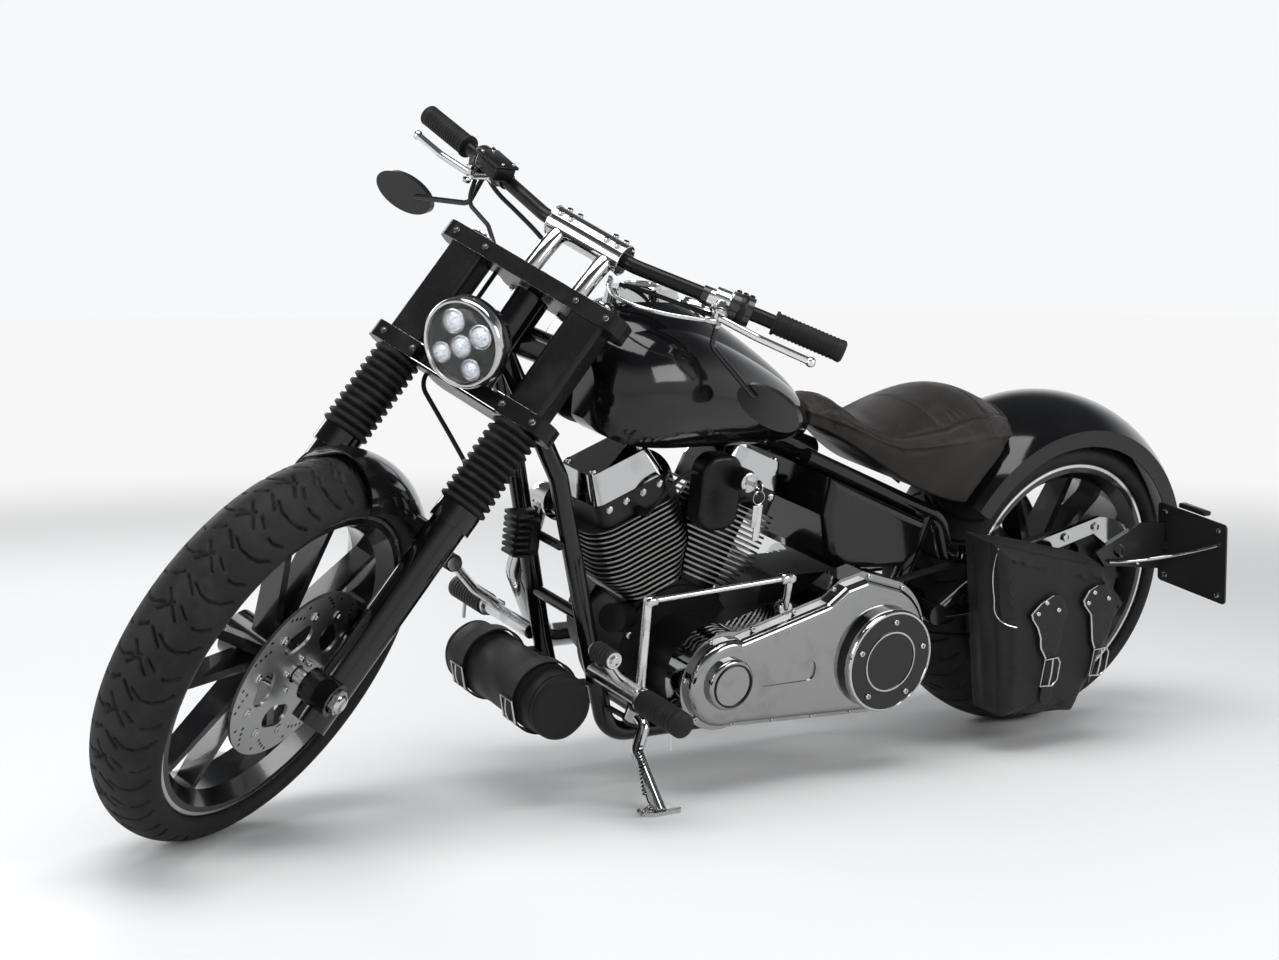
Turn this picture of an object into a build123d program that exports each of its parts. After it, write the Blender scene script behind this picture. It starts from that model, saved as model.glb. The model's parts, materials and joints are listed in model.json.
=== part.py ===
from build123d import *
import os
from math import asin, atan2, cos, degrees, radians, sin, sqrt

# Cruiser motorcycle with a V-twin engine, parked on its side stand.
# Millimetres. Each sub-part is drawn on the upright machine with its steering straight:
# x forward from the rear axle, y to the left, z up from the ground.
# The last section turns the steered pieces, leans the machine on its stand and writes the files.

# Running gear
WHEELBASE = 1710.0
TRAIL = 147.0
RAKE = 35.0
FORK_ANGLE = 37.0
FRONT_TYRE_R = 345.0
FRONT_TYRE_W = 130.0
FRONT_CROWN_R = 70.0
FRONT_RIM_R = 279.0
FRONT_RIM_W = 100.0
REAR_TYRE_R = 325.0
REAR_TYRE_W = 240.0
REAR_CROWN_R = 150.0
REAR_RIM_R = 243.0
REAR_RIM_W = 216.0
TYRE_WALL = 9.0
RIM_WALL = 6.0
SPOKE_PAIRS = 5

# Parked stance
LEAN = 10.48
STEER_LOCK = 33.77

# Fits
SHAFT_FIT = 0.05
SEAT_GAP = 0.3
MOVING_GAP = 6.0

# Axles
AXLE_R = 12.5
AXLE_BORE_R = 8.0
AXLE_NUT_R = 21.0
AXLE_NUT_T = 14.0

# Fork
LEG_U = -28.0
LEG_Y = 125.0
FORK_TUBE_R = 24.5
SLIDER_R = 31.0
SLIDER_TOP = 365.0
SLIDER_FOOT = -55.0
TUBE_FOOT = 45.0
COLLAR_R = 37.0
COLLAR_H = 34.0
LOWER_CLAMP_V = 540.0
UPPER_CLAMP_V = 748.0
CLAMP_T = 30.0
CLAMP_HALF_W = 187.0
CLAMP_HALF_D = 34.0
COVER_W = 66.0
COVER_D = 62.0
COVER_WALL = 3.0
GAITER_RIBS = 11
GAITER_R = 42.0
GAITER_ROOT_R = 34.0

# Steering head
STEM_R = 14.0
HEAD_R = 32.0

# Lamp
LAMP_U = 62.7
LAMP_V = 580.1
LAMP_R = 73.0
LAMP_DEPTH = 82.0
LAMP_RING_W = 7.0
LAMP_BACK_R = 16.0
LAMP_RECESS_U = -21.0

# Handlebar
BAR_R = 12.7
BAR_U = -106.6
BAR_V = 875.4
BAR_HALF_W = 450.0
BAR_SWEEP = 130.0
RISER_Y = 50.0
RISER_R = 16.0
GRIP_R = 18.0
GRIP_L = 125.0

# Front fender
FENDER_GAP = 14.0
FENDER_WALL = 3.0
FENDER_HALF_W = 76.0
FENDER_FRONT = 100.0
FENDER_REAR = 160.0

# Engine
CRANK_X = 905.0
CRANK_Z = 255.0
CYLINDER_ANGLE = 22.5
CASE_HALF_W = 66.0
CASE_R = 126.0
DECK_H = 128.0
BARREL_R = 58.0
FIN_COUNT = 16
FIN_PITCH = 10.0
FIN_T = 3.6
FIN_HALF_Y = 78.0
HEAD_H = 44.0
ROCKER_H = 52.0
VALLEY_GAP = 4.0

# Primary drive
PRIMARY_Y = 232.0
PRIMARY_INNER_Y = 164.0
CLUTCH_X = 556.0
CLUTCH_Z = 264.0
CLUTCH_COVER_R = 97.0
CLUTCH_COVER_T = 22.0

# Frame
TUBE_R = 17.0
SPINE_R = 28.0
CRADLE_Y = 88.0
CRADLE_Z = 127.0
RAIL_Y = 62.0

# Rear end
REAR_FENDER_R = 366.0
REAR_FENDER_HALF_W = 137.0
SWINGARM_Y = 167.0
SWINGARM_R = 12.0
SWINGARM_PLATE_T = 14.0
SWING_PIVOT_X = 382.0
SWING_PIVOT_Z = 312.0
SWING_PIVOT_R = 20.0
PULLEY_R = 118.0
PULLEY_Y = 127.0
PULLEY_W = 22.0
BAG_Y = 196.0
BAG_W = 82.0
STRUT_Y = 154.5
STRUT_T = 9.0

# Foot controls
PEG_X = 1105.0
PEG_Z = 258.0
PEG_R = 19.0
PEG_IN_Y = 262.0
PEG_OUT_Y = 380.0

# Side stand
STAND_PIVOT = (1036.0, 146.0, 186.0)
STAND_EYE_HALF = 12.0
STAND_PIN_R = 8.0
STAND_AXIS_TILT = 20.0
STAND_FOOT_X = 1062.0
STAND_FOOT_Y = 288.0
STAND_R = 11.0
STAND_PAD_T = 7.0
STAND_FOLD = 80.0


# Drawing planes and shapes used by many sub-parts

def side(y):
    """Plane along the machine: local x forward, local y up, normal to the right."""
    return Plane(origin=(0, y, 0), x_dir=(1, 0, 0), z_dir=(0, -1, 0))


def across(x, z):
    """Plane across the machine: local x to the left, local y up, normal forward."""
    return Plane(origin=(x, 0, z), x_dir=(0, 1, 0), z_dir=(1, 0, 0))


def level(z):
    """Level plane: local x forward, local y to the left."""
    return Plane.XY.offset(z)


def along_fork(v, origin_y=0.0):
    """Plane square to the fork legs at height v above the front axle: local x forward, y left."""
    fork_up = Vector(-sin(radians(FORK_ANGLE)), 0, cos(radians(FORK_ANGLE)))
    fork_forward = Vector(cos(radians(FORK_ANGLE)), 0, sin(radians(FORK_ANGLE)))
    axle = Vector(WHEELBASE, origin_y, FRONT_TYRE_R)
    return Plane(origin=axle + fork_up * v, x_dir=fork_forward, z_dir=fork_up)


def beside_fork(y):
    """Plane along the fork at a place across it: local x forward, local y up the fork."""
    fork_forward = Vector(cos(radians(FORK_ANGLE)), 0, sin(radians(FORK_ANGLE)))
    return Plane(origin=(WHEELBASE, y, FRONT_TYRE_R), x_dir=fork_forward, z_dir=(0, -1, 0))


def on_cylinder(tilt, height):
    """Plane square to a cylinder that leans forward by tilt: local x forward, local y left."""
    up = Vector(sin(radians(tilt)), 0, cos(radians(tilt)))
    forward = Vector(cos(radians(tilt)), 0, -sin(radians(tilt)))
    return Plane(origin=Vector(CRANK_X, 0, CRANK_Z) + up * height, x_dir=forward, z_dir=up)


def add_bar(points, radius, bend=0.0, mode=Mode.ADD):
    """A round bar along straight runs, joined by bends of one radius."""
    with BuildLine() as path:
        if bend:
            FilletPolyline(*points, radius=bend)
        else:
            Polyline(*points)
    with BuildSketch(Plane(origin=path.line @ 0, z_dir=path.line % 0)) as section:
        Circle(radius)
    sweep(section.sketch, path=path.line, mode=mode)


def add_pin(centre, direction, radius, length, mode=Mode.ADD):
    """A round pin that starts at a point and runs along a direction."""
    with BuildSketch(Plane(origin=centre, z_dir=direction)) as end:
        Circle(radius)
    extrude(end.sketch, amount=length, mode=mode)


def add_ring_about(axle_z, axle_x, section, arc=360.0, start=0.0):
    """A section of (across, radius) points revolved about an axle."""
    turn = radians(start)
    plane = Plane(
        origin=(axle_x, 0, axle_z), x_dir=(0, 1, 0), z_dir=(sin(turn), 0, -cos(turn))
    )
    with BuildSketch(plane) as profile:
        with BuildLine():
            Polyline(*section, close=True)
        make_face()
    revolve(profile.sketch, axis=Axis((axle_x, 0, axle_z), (0, -1, 0)), revolution_arc=arc)


def add_tyre(axle_x, radius, width, crown, rim_r, rim_w):
    """A hollow tyre: round crown, side walls that pass over the rim flange, open at the bead."""
    half = width / 2
    shoulder = (half * 0.96, radius - crown + sqrt(crown**2 - (half * 0.96) ** 2))
    side_wall = (half, (shoulder[1] + rim_r) / 2)
    lip = (rim_w / 2 + 3.0, rim_r + 2.0)
    bead_top = (rim_w / 2 - RIM_WALL - SEAT_GAP, rim_r + 2.0)
    bead_foot = (rim_w / 2 - RIM_WALL - SEAT_GAP, rim_r - 12.0)
    bead_in = (rim_w / 2 - RIM_WALL - TYRE_WALL, rim_r - 12.0)
    neck = (bead_in[0] + 3.0, rim_r + 7.0)
    inner_side = (half - TYRE_WALL - 3.5, side_wall[1] - 1.0)
    inner_shoulder = (shoulder[0] - TYRE_WALL, shoulder[1] - TYRE_WALL / 2)
    with BuildSketch(across(axle_x, radius)) as section:
        with BuildLine():
            Line(bead_in, bead_foot)
            Line(bead_foot, bead_top)
            Line(bead_top, lip)
            ThreePointArc(lip, side_wall, shoulder)
            ThreePointArc(shoulder, (0, radius), (-shoulder[0], shoulder[1]))
            mirror_side = [(-p[0], p[1]) for p in (shoulder, side_wall, lip)]
            ThreePointArc(*mirror_side)
            Polyline(
                (-lip[0], lip[1]),
                (-bead_top[0], bead_top[1]),
                (-bead_foot[0], bead_foot[1]),
                (-bead_in[0], bead_in[1]),
                (-neck[0], neck[1]),
            )
            ThreePointArc(
                (-neck[0], neck[1]),
                (-inner_side[0], inner_side[1]),
                (-inner_shoulder[0], inner_shoulder[1]),
            )
            ThreePointArc(
                (-inner_shoulder[0], inner_shoulder[1]), (0, radius - TYRE_WALL), inner_shoulder
            )
            ThreePointArc(inner_shoulder, inner_side, neck)
            Line(neck, bead_in)
        make_face()
    revolve(section.sketch, axis=Axis((axle_x, 0, radius), (0, 1, 0)))


def add_cast_wheel(axle_x, axle_z, rim_r, rim_w, hub_r, hub_left, hub_right, spoke_depth, twist):
    """Rim, hub and pairs of split spokes in one casting."""
    half = rim_w / 2
    well = rim_r - 30.0
    section = [
        (-half, rim_r),
        (-half + RIM_WALL, rim_r),
        (-half + RIM_WALL, rim_r - 13.0),
        (-half + 26.0, well),
        (half - 26.0, well),
        (half - RIM_WALL, rim_r - 13.0),
        (half - RIM_WALL, rim_r),
        (half, rim_r),
        (half, rim_r - 18.0),
        (half - 24.0, well - RIM_WALL),
        (-half + 24.0, well - RIM_WALL),
        (-half, rim_r - 18.0),
    ]
    add_ring_about(axle_z, axle_x, section)
    add_pin((axle_x, hub_right, axle_z), (0, 1, 0), hub_r, hub_left - hub_right)
    root_r = hub_r - 8.0
    tip_r = well - RIM_WALL / 2
    for pair in range(SPOKE_PAIRS):
        middle = twist + 360.0 / SPOKE_PAIRS * pair
        for lean in (-1, 1):
            root_angle = radians(middle + lean * 15.0)
            tip_angle = radians(middle + lean * 13.0)
            root = Vector(cos(root_angle), 0, sin(root_angle)) * root_r
            tip = Vector(cos(tip_angle), 0, sin(tip_angle)) * tip_r
            run = tip - root
            foot = Plane(
                origin=root + Vector(axle_x, 0, axle_z), x_dir=(0, 1, 0), z_dir=run.normalized()
            )
            with BuildSketch(foot) as root_section:
                Rectangle(spoke_depth, 20.0)
            with BuildSketch(foot.offset(run.length)) as tip_section:
                Rectangle(spoke_depth * 0.8, 14.0)
            loft([root_section.sketch, tip_section.sketch])
    bore = AXLE_R + SHAFT_FIT
    add_pin(
        (axle_x, hub_right - 1, axle_z), (0, 1, 0), bore, hub_left - hub_right + 2, Mode.SUBTRACT
    )


def add_axle(axle_x, axle_z, half_length):
    """Hollow axle with a nut at each end."""
    add_pin((axle_x, -half_length, axle_z), (0, 1, 0), AXLE_R, 2 * half_length)
    for y in (-half_length, half_length - AXLE_NUT_T):
        with BuildSketch(side(y + AXLE_NUT_T)) as nut:
            with Locations((axle_x, axle_z)):
                RegularPolygon(AXLE_NUT_R, 6)
        extrude(nut.sketch, amount=AXLE_NUT_T)
    add_pin(
        (axle_x, -half_length - 1, axle_z), (0, 1, 0), AXLE_BORE_R, 2 * half_length + 2,
        Mode.SUBTRACT,
    )


# Front wheel: tyre, rim with split spokes, drilled disc on the left
with BuildPart() as front_tyre:
    add_tyre(WHEELBASE, FRONT_TYRE_R, FRONT_TYRE_W, FRONT_CROWN_R, FRONT_RIM_R, FRONT_RIM_W)

FRONT_HUB_LEFT = 66.0
FRONT_HUB_RIGHT = -60.0
with BuildPart() as front_rim:
    add_cast_wheel(
        WHEELBASE, FRONT_TYRE_R, FRONT_RIM_R, FRONT_RIM_W, 40.0, FRONT_HUB_LEFT,
        FRONT_HUB_RIGHT, 42.0, 20.0,
    )

FRONT_DISC_R = 150.0
DISC_T = 5.0
DISC_BAND = 34.0


def add_disc(axle_x, axle_z, y, outer_r, bore_r):
    """Brake disc whose right face is at y, with a five-armed carrier."""
    with BuildSketch(side(y + DISC_T)) as face:
        with Locations((axle_x, axle_z)):
            Circle(outer_r)
            Circle(bore_r, mode=Mode.SUBTRACT)
            with PolarLocations(0, 5):
                with Locations(((outer_r - DISC_BAND + bore_r + 24) / 2, 0)):
                    SlotOverall(
                        0.56 * (outer_r - DISC_BAND), 0.36 * (outer_r - DISC_BAND),
                        rotation=90, mode=Mode.SUBTRACT,
                    )
    extrude(face.sketch, amount=DISC_T)


with BuildPart() as front_disc:
    add_disc(WHEELBASE, FRONT_TYRE_R, FRONT_HUB_LEFT, FRONT_DISC_R, AXLE_R + 4.0)

# Rear wheel: wide tyre, rim, belt pulley on the left, disc on the right
with BuildPart() as rear_tyre:
    add_tyre(0, REAR_TYRE_R, REAR_TYRE_W, REAR_CROWN_R, REAR_RIM_R, REAR_RIM_W)

REAR_HUB_LEFT = PULLEY_Y
REAR_HUB_RIGHT = -128.0
with BuildPart() as rear_rim:
    add_cast_wheel(
        0, REAR_TYRE_R, REAR_RIM_R, REAR_RIM_W, 48.0, REAR_HUB_LEFT, REAR_HUB_RIGHT, 60.0, 54.0
    )

with BuildPart() as rear_pulley:
    with BuildSketch(side(PULLEY_Y + PULLEY_W)):
        with Locations((0, REAR_TYRE_R)):
            Circle(PULLEY_R)
            Circle(AXLE_R + 4.0, mode=Mode.SUBTRACT)
            with PolarLocations(PULLEY_R * 0.62, SPOKE_PAIRS):
                Circle(PULLEY_R * 0.2, mode=Mode.SUBTRACT)
    extrude(amount=PULLEY_W)

REAR_DISC_R = 146.0
with BuildPart() as rear_disc:
    add_disc(0, REAR_TYRE_R, REAR_HUB_RIGHT - DISC_T, REAR_DISC_R, AXLE_R + 4.0)

# Axles and their nuts
FRONT_AXLE_HALF = LEG_Y + SLIDER_R + 6.0
with BuildPart() as front_axle:
    add_axle(WHEELBASE, FRONT_TYRE_R, FRONT_AXLE_HALF)

REAR_AXLE_HALF = SWINGARM_Y + SWINGARM_PLATE_T / 2 + AXLE_NUT_T + 2.0
with BuildPart() as rear_axle:
    add_axle(0, REAR_TYRE_R, REAR_AXLE_HALF)

# Fork: sliders, gaiters, square covers between the clamps
with BuildPart() as fork_sliders:
    for y in (-LEG_Y, LEG_Y):
        with BuildSketch(along_fork(SLIDER_FOOT)):
            with Locations((LEG_U, y)):
                Circle(SLIDER_R)
        extrude(amount=SLIDER_TOP - SLIDER_FOOT)
        with BuildSketch(along_fork(SLIDER_TOP - COLLAR_H)):
            with Locations((LEG_U, y)):
                Circle(COLLAR_R)
        extrude(amount=COLLAR_H)
        with BuildSketch(side(y + SLIDER_R - 4)):
            with Locations((WHEELBASE, FRONT_TYRE_R)):
                Circle(AXLE_NUT_R + 8)
        extrude(amount=2 * SLIDER_R - 8)
        add_pin(
            (WHEELBASE, y - 50, FRONT_TYRE_R), (0, 1, 0), AXLE_R + SHAFT_FIT, 100, Mode.SUBTRACT
        )
        add_pin(
            (WHEELBASE, y + (SLIDER_R - 8 if y > 0 else -SLIDER_R - 50), FRONT_TYRE_R), (0, 1, 0),
            AXLE_NUT_R + 1, 58, Mode.SUBTRACT,
        )
        with BuildSketch(along_fork(TUBE_FOOT - 2)):
            with Locations((LEG_U, y)):
                Circle(FORK_TUBE_R + SHAFT_FIT)
        extrude(amount=SLIDER_TOP, mode=Mode.SUBTRACT)

GAITER_BOTTOM = SLIDER_TOP + SEAT_GAP
GAITER_TOP = LOWER_CLAMP_V - CLAMP_T / 2 - SEAT_GAP
with BuildPart() as fork_gaiters:
    rib_pitch = (GAITER_TOP - GAITER_BOTTOM) / GAITER_RIBS
    for y in (-LEG_Y, LEG_Y):
        axis_foot = along_fork(0).from_local_coords((LEG_U, y, 0))
        fork_up = along_fork(0).z_dir
        with BuildSketch(beside_fork(y)):
            with BuildLine():
                marks = [(LEG_U + FORK_TUBE_R + SHAFT_FIT, GAITER_BOTTOM)]
                for rib in range(GAITER_RIBS):
                    foot = GAITER_BOTTOM + rib * rib_pitch
                    marks.append((LEG_U + GAITER_ROOT_R, foot))
                    marks.append((LEG_U + GAITER_R, foot + 0.35 * rib_pitch))
                    marks.append((LEG_U + GAITER_R, foot + 0.65 * rib_pitch))
                marks.append((LEG_U + GAITER_ROOT_R, GAITER_TOP))
                marks.append((LEG_U + FORK_TUBE_R + SHAFT_FIT, GAITER_TOP))
                Polyline(*marks, close=True)
            make_face()
        revolve(axis=Axis(axis_foot, fork_up))

with BuildPart() as fork_tubes:
    for y in (-LEG_Y, LEG_Y):
        with BuildSketch(along_fork(TUBE_FOOT)):
            with Locations((LEG_U, y)):
                Circle(FORK_TUBE_R)
        extrude(amount=UPPER_CLAMP_V + CLAMP_T / 2 - TUBE_FOOT)

COVER_FOOT = LOWER_CLAMP_V + CLAMP_T / 2
COVER_TOP = UPPER_CLAMP_V - CLAMP_T / 2
with BuildPart() as fork_covers:
    for y in (-LEG_Y, LEG_Y):
        with BuildSketch(along_fork(COVER_FOOT)):
            with Locations((LEG_U, y)):
                RectangleRounded(COVER_D, COVER_W, 10)
                RectangleRounded(
                    COVER_D - 2 * COVER_WALL, COVER_W - 2 * COVER_WALL, 7, mode=Mode.SUBTRACT
                )
        extrude(amount=COVER_TOP - COVER_FOOT)

# Steering stem and the two clamps that hold the fork tubes
steering_up = Vector(-sin(radians(RAKE)), 0, cos(radians(RAKE)))
steering_foot = Vector(WHEELBASE + TRAIL, 0, 0)
steering_axis = Axis(steering_foot, steering_up)


def stem_at(v):
    """Distance along the steering axis to the plane at height v of the fork."""
    plane = along_fork(v)
    return (plane.origin - steering_foot).dot(plane.z_dir) / steering_up.dot(plane.z_dir)


STEM_FOOT = stem_at(LOWER_CLAMP_V)
STEM_TOP = stem_at(UPPER_CLAMP_V)
with BuildPart() as fork_clamps:
    for v in (LOWER_CLAMP_V, UPPER_CLAMP_V):
        with BuildSketch(along_fork(v - CLAMP_T / 2)):
            with Locations((LEG_U, 0)):
                RectangleRounded(2 * CLAMP_HALF_D, 2 * CLAMP_HALF_W, CLAMP_HALF_D * 0.8)
            with Locations((LEG_U - CLAMP_HALF_D + 4, 0)):
                RectangleRounded(90, 150, 24)
            if v == LOWER_CLAMP_V:
                with Locations((LAMP_RECESS_U + 40, 0)):
                    RectangleRounded(80, 176, 12, mode=Mode.SUBTRACT)
            with Locations((LEG_U, -LEG_Y), (LEG_U, LEG_Y)):
                Circle(FORK_TUBE_R + SHAFT_FIT, mode=Mode.SUBTRACT)
        extrude(amount=CLAMP_T)
    add_pin(
        steering_foot + steering_up * STEM_FOOT, steering_up, STEM_R, STEM_TOP - STEM_FOOT
    )

# Front fender with the brackets that bolt to the sliders
with BuildPart() as front_fender:
    inner = FRONT_TYRE_R + FENDER_GAP
    outer = inner + FENDER_WALL
    crown_in = FRONT_CROWN_R + FENDER_GAP
    plane = Plane(
        origin=(WHEELBASE, 0, FRONT_TYRE_R), x_dir=(0, 1, 0),
        z_dir=(sin(radians(FENDER_FRONT)), 0, -cos(radians(FENDER_FRONT))),
    )
    with BuildSketch(plane):
        with BuildLine():
            edge = FENDER_HALF_W
            edge_r = inner - 62.0
            top_in = (0, inner)
            top_out = (0, outer)
            Polyline((-edge, edge_r), (-edge - FENDER_WALL, edge_r))
            ThreePointArc(
                (-edge - FENDER_WALL, edge_r), (-edge * 0.66, outer - 17), (0, outer)
            )
            ThreePointArc((0, outer), (edge * 0.66, outer - 17), (edge + FENDER_WALL, edge_r))
            Polyline((edge + FENDER_WALL, edge_r), (edge, edge_r))
            ThreePointArc((edge, edge_r), (edge * 0.64, inner - 17), (0, inner))
            ThreePointArc((0, inner), (-edge * 0.64, inner - 17), (-edge, edge_r))
        make_face()
    revolve(
        axis=Axis((WHEELBASE, 0, FRONT_TYRE_R), (0, -1, 0)),
        revolution_arc=FENDER_REAR - FENDER_FRONT,
    )
    for sign in (-1, 1):
        outer_face = sign * (LEG_Y - SLIDER_R + 1)
        inner_face = sign * (FENDER_HALF_W + 1)
        with BuildSketch(beside_fork(max(outer_face, inner_face))):
            with Locations((LEG_U, 300.0)):
                RectangleRounded(26, 40, 6)
        extrude(amount=abs(outer_face - inner_face))
        with BuildSketch(along_fork(280.0)):
            with Locations((LEG_U, sign * LEG_Y)):
                Circle(SLIDER_R + SHAFT_FIT)
        extrude(amount=70.0, mode=Mode.SUBTRACT)

# Front caliper behind the left slider, over the disc
CALIPER_U = -92.0
CALIPER_V = 92.0
CALIPER_L = 120.0
CALIPER_D = 58.0
with BuildPart() as front_caliper:
    with BuildSketch(beside_fork(FRONT_HUB_LEFT + DISC_T + 38)):
        with Locations((CALIPER_U, CALIPER_V)):
            RectangleRounded(CALIPER_D, CALIPER_L, 12)
    extrude(amount=DISC_T + 64)
    with BuildSketch(beside_fork(FRONT_HUB_LEFT + DISC_T + MOVING_GAP)):
        with Locations((0, 0)):
            Circle(FRONT_DISC_R + MOVING_GAP)
    extrude(amount=DISC_T + 2 * MOVING_GAP, mode=Mode.SUBTRACT)
    with BuildSketch(beside_fork(FRONT_HUB_LEFT + DISC_T + 38)):
        with Locations((LEG_U - 40, CALIPER_V)):
            RectangleRounded(50, 26, 6)
    extrude(amount=20)
    with BuildSketch(along_fork(0)):
        with Locations((LEG_U, LEG_Y)):
            Circle(SLIDER_R + SHAFT_FIT)
    extrude(amount=200, mode=Mode.SUBTRACT)

# Headlamp: bucket with its bracket on the lower clamp, chrome ring, lens
lamp_face = along_fork(LAMP_V).from_local_coords((LAMP_U, 0, 0))
LAMP_X = lamp_face.X
LAMP_Z = lamp_face.Z
with BuildPart() as headlamp:
    with BuildSketch(side(0)):
        with BuildLine():
            Polyline(
                (LAMP_X - LAMP_DEPTH, LAMP_Z),
                (LAMP_X - 6, LAMP_Z),
                (LAMP_X - 6, LAMP_Z + LAMP_R - LAMP_RING_W),
                (LAMP_X, LAMP_Z + LAMP_R - LAMP_RING_W),
                (LAMP_X, LAMP_Z + LAMP_R),
                (LAMP_X - 22, LAMP_Z + LAMP_R + 3),
                (LAMP_X - 50, LAMP_Z + LAMP_R - 11),
            )
            ThreePointArc(
                (LAMP_X - 50, LAMP_Z + LAMP_R - 11),
                (LAMP_X - LAMP_DEPTH + 13, LAMP_Z + LAMP_R * 0.56),
                (LAMP_X - LAMP_DEPTH, LAMP_Z + LAMP_BACK_R),
            )
            Line((LAMP_X - LAMP_DEPTH, LAMP_Z + LAMP_BACK_R), (LAMP_X - LAMP_DEPTH, LAMP_Z))
        make_face()
    revolve(axis=Axis((LAMP_X, 0, LAMP_Z), (1, 0, 0)))
    with BuildSketch(along_fork(LOWER_CLAMP_V - 8)):
        with Locations((LAMP_RECESS_U + SEAT_GAP + 8, 0)):
            RectangleRounded(16, 44, 4)
    extrude(amount=44)

with BuildPart() as headlamp_lens:
    lens_r = LAMP_R - LAMP_RING_W - SEAT_GAP
    add_pin((LAMP_X - 6, 0, LAMP_Z), (1, 0, 0), lens_r, 10)
    fillet(headlamp_lens.faces().sort_by(Axis.X)[-1].edges(), 5)

# Handlebar, its risers with one wide clamp, and the grips
bar_centre = along_fork(BAR_V).from_local_coords((BAR_U, 0, 0))
BAR_CLAMP_X = bar_centre.X
BAR_Z = bar_centre.Z
BAR_END_X = BAR_CLAMP_X - BAR_SWEEP
BAR_BEND_Y = 95.0
BAR_HIP_Y = 310.0
BAR_HIP_X = BAR_CLAMP_X - 86.0
with BuildPart() as handlebar:
    bar_points = [(BAR_CLAMP_X, 0, BAR_Z), (BAR_CLAMP_X, BAR_BEND_Y, BAR_Z)]
    bar_points += [(BAR_HIP_X, BAR_HIP_Y, BAR_Z), (BAR_END_X, BAR_HALF_W - 4, BAR_Z)]
    add_bar(bar_points, BAR_R, 60)
    mirror(about=Plane.XZ)

riser_foot_plane = along_fork(UPPER_CLAMP_V + CLAMP_T / 2)
riser_foot = riser_foot_plane.from_local_coords((LEG_U - 58, RISER_Y, 0))
with BuildPart() as bar_risers:
    for sign in (-1, 1):
        foot = Vector(riser_foot.X, sign * RISER_Y, riser_foot.Z)
        top = Vector(BAR_CLAMP_X, sign * RISER_Y, BAR_Z)
        with BuildLine() as riser_path:
            TangentArc(foot, top, tangent=riser_foot_plane.z_dir)
        with BuildSketch(Plane(origin=foot, z_dir=riser_foot_plane.z_dir)):
            Circle(RISER_R)
        sweep(path=riser_path.line)
    add_pin((BAR_CLAMP_X, -74, BAR_Z), (0, 1, 0), 27, 148)
    add_pin((BAR_CLAMP_X, -75, BAR_Z), (0, 1, 0), BAR_R + SHAFT_FIT, 150, Mode.SUBTRACT)

bar_end_run = Vector(BAR_END_X - BAR_HIP_X, BAR_HALF_W - 4 - BAR_HIP_Y, 0).normalized()
with BuildPart() as grips:
    grip_in = Vector(BAR_END_X, BAR_HALF_W - 4, BAR_Z) - bar_end_run * (GRIP_L - 6)
    add_pin(grip_in, bar_end_run, GRIP_R, GRIP_L)
    add_pin(grip_in - bar_end_run, bar_end_run, BAR_R + SHAFT_FIT, GRIP_L - 5, Mode.SUBTRACT)
    mirror(about=Plane.XZ)

# Lever, its perch and the switch housing, one set on each side of the bar
HOUSING_Y = 282.0
PERCH_Y = 252.0
with BuildPart() as bar_controls:
    bar_mid_run = Vector(BAR_HIP_X - BAR_CLAMP_X, BAR_HIP_Y - BAR_BEND_Y, 0).normalized()
    housing_foot = Vector(BAR_HIP_X, BAR_HIP_Y, BAR_Z) - bar_mid_run * 18
    add_pin(housing_foot, -bar_mid_run, 25, 40)
    perch_foot = housing_foot - bar_mid_run * 42
    add_pin(perch_foot, -bar_mid_run, 22, 26)
    bridge = perch_foot - bar_mid_run * 13
    add_bar([bridge, bridge + Vector(44, 24, -6)], 13)
    lever_root = bridge + Vector(48, 26, -8)
    lever_tip = Vector(BAR_END_X + 58, BAR_HALF_W - 24, BAR_Z - 20)
    add_bar([lever_root, lever_root + Vector(-12, 70, -2), lever_tip], 6.5, 60)
    with Locations(lever_tip):
        Sphere(9)
    add_pin(perch_foot + bar_mid_run * 12, -bar_mid_run, 16, 60)
    add_pin(
        Vector(BAR_HIP_X, BAR_HIP_Y, BAR_Z) + bar_mid_run * 2, -bar_mid_run,
        BAR_R + SHAFT_FIT, 200, Mode.SUBTRACT,
    )
    mirror(about=Plane.XZ)

# Mirrors hung below the bar
MIRROR_DROP = 118.0
with BuildPart() as mirrors:
    stalk_top = bridge + Vector(16, 12, -4)
    mirror_centre = Vector(BAR_CLAMP_X - 40, 400, BAR_Z - MIRROR_DROP)
    stalk_end = mirror_centre + Vector(4, -28, 6)
    add_bar([stalk_top, stalk_top + Vector(6, 10, -66), stalk_end], 5, 20)
    add_bar(
        [bridge - Vector(44, 24, -6), bridge + Vector(66, 36, -9)], 13 + SEAT_GAP,
        mode=Mode.SUBTRACT,
    )
    with BuildSketch(Plane(origin=mirror_centre, x_dir=(0, 1, 0), z_dir=(-1, 0, 0))):
        Ellipse(62, 32)
    extrude(amount=14)
    mirror(about=Plane.XZ)

# Frame: steering head and spine, twin cradles, seat rails
DOWNTUBE_SHOULDER = (1192.0, 74.0, 600.0)
DOWNTUBE_KNEE = (1095.0, CRADLE_Y, 260.0)
DOWNTUBE_FOOT = (1052.0, CRADLE_Y, CRADLE_Z)


def on_side(points, sign):
    """Points of a tube on the left (1) or the right (-1)."""
    return [(x, sign * y, z) for x, y, z in points]


def downtube_x(z):
    """Where a downtube's centre line is at a height between its shoulder and its knee."""
    slope = (DOWNTUBE_SHOULDER[0] - DOWNTUBE_KNEE[0]) / (DOWNTUBE_SHOULDER[2] - DOWNTUBE_KNEE[2])
    return DOWNTUBE_KNEE[0] + (z - DOWNTUBE_KNEE[2]) * slope


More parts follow.
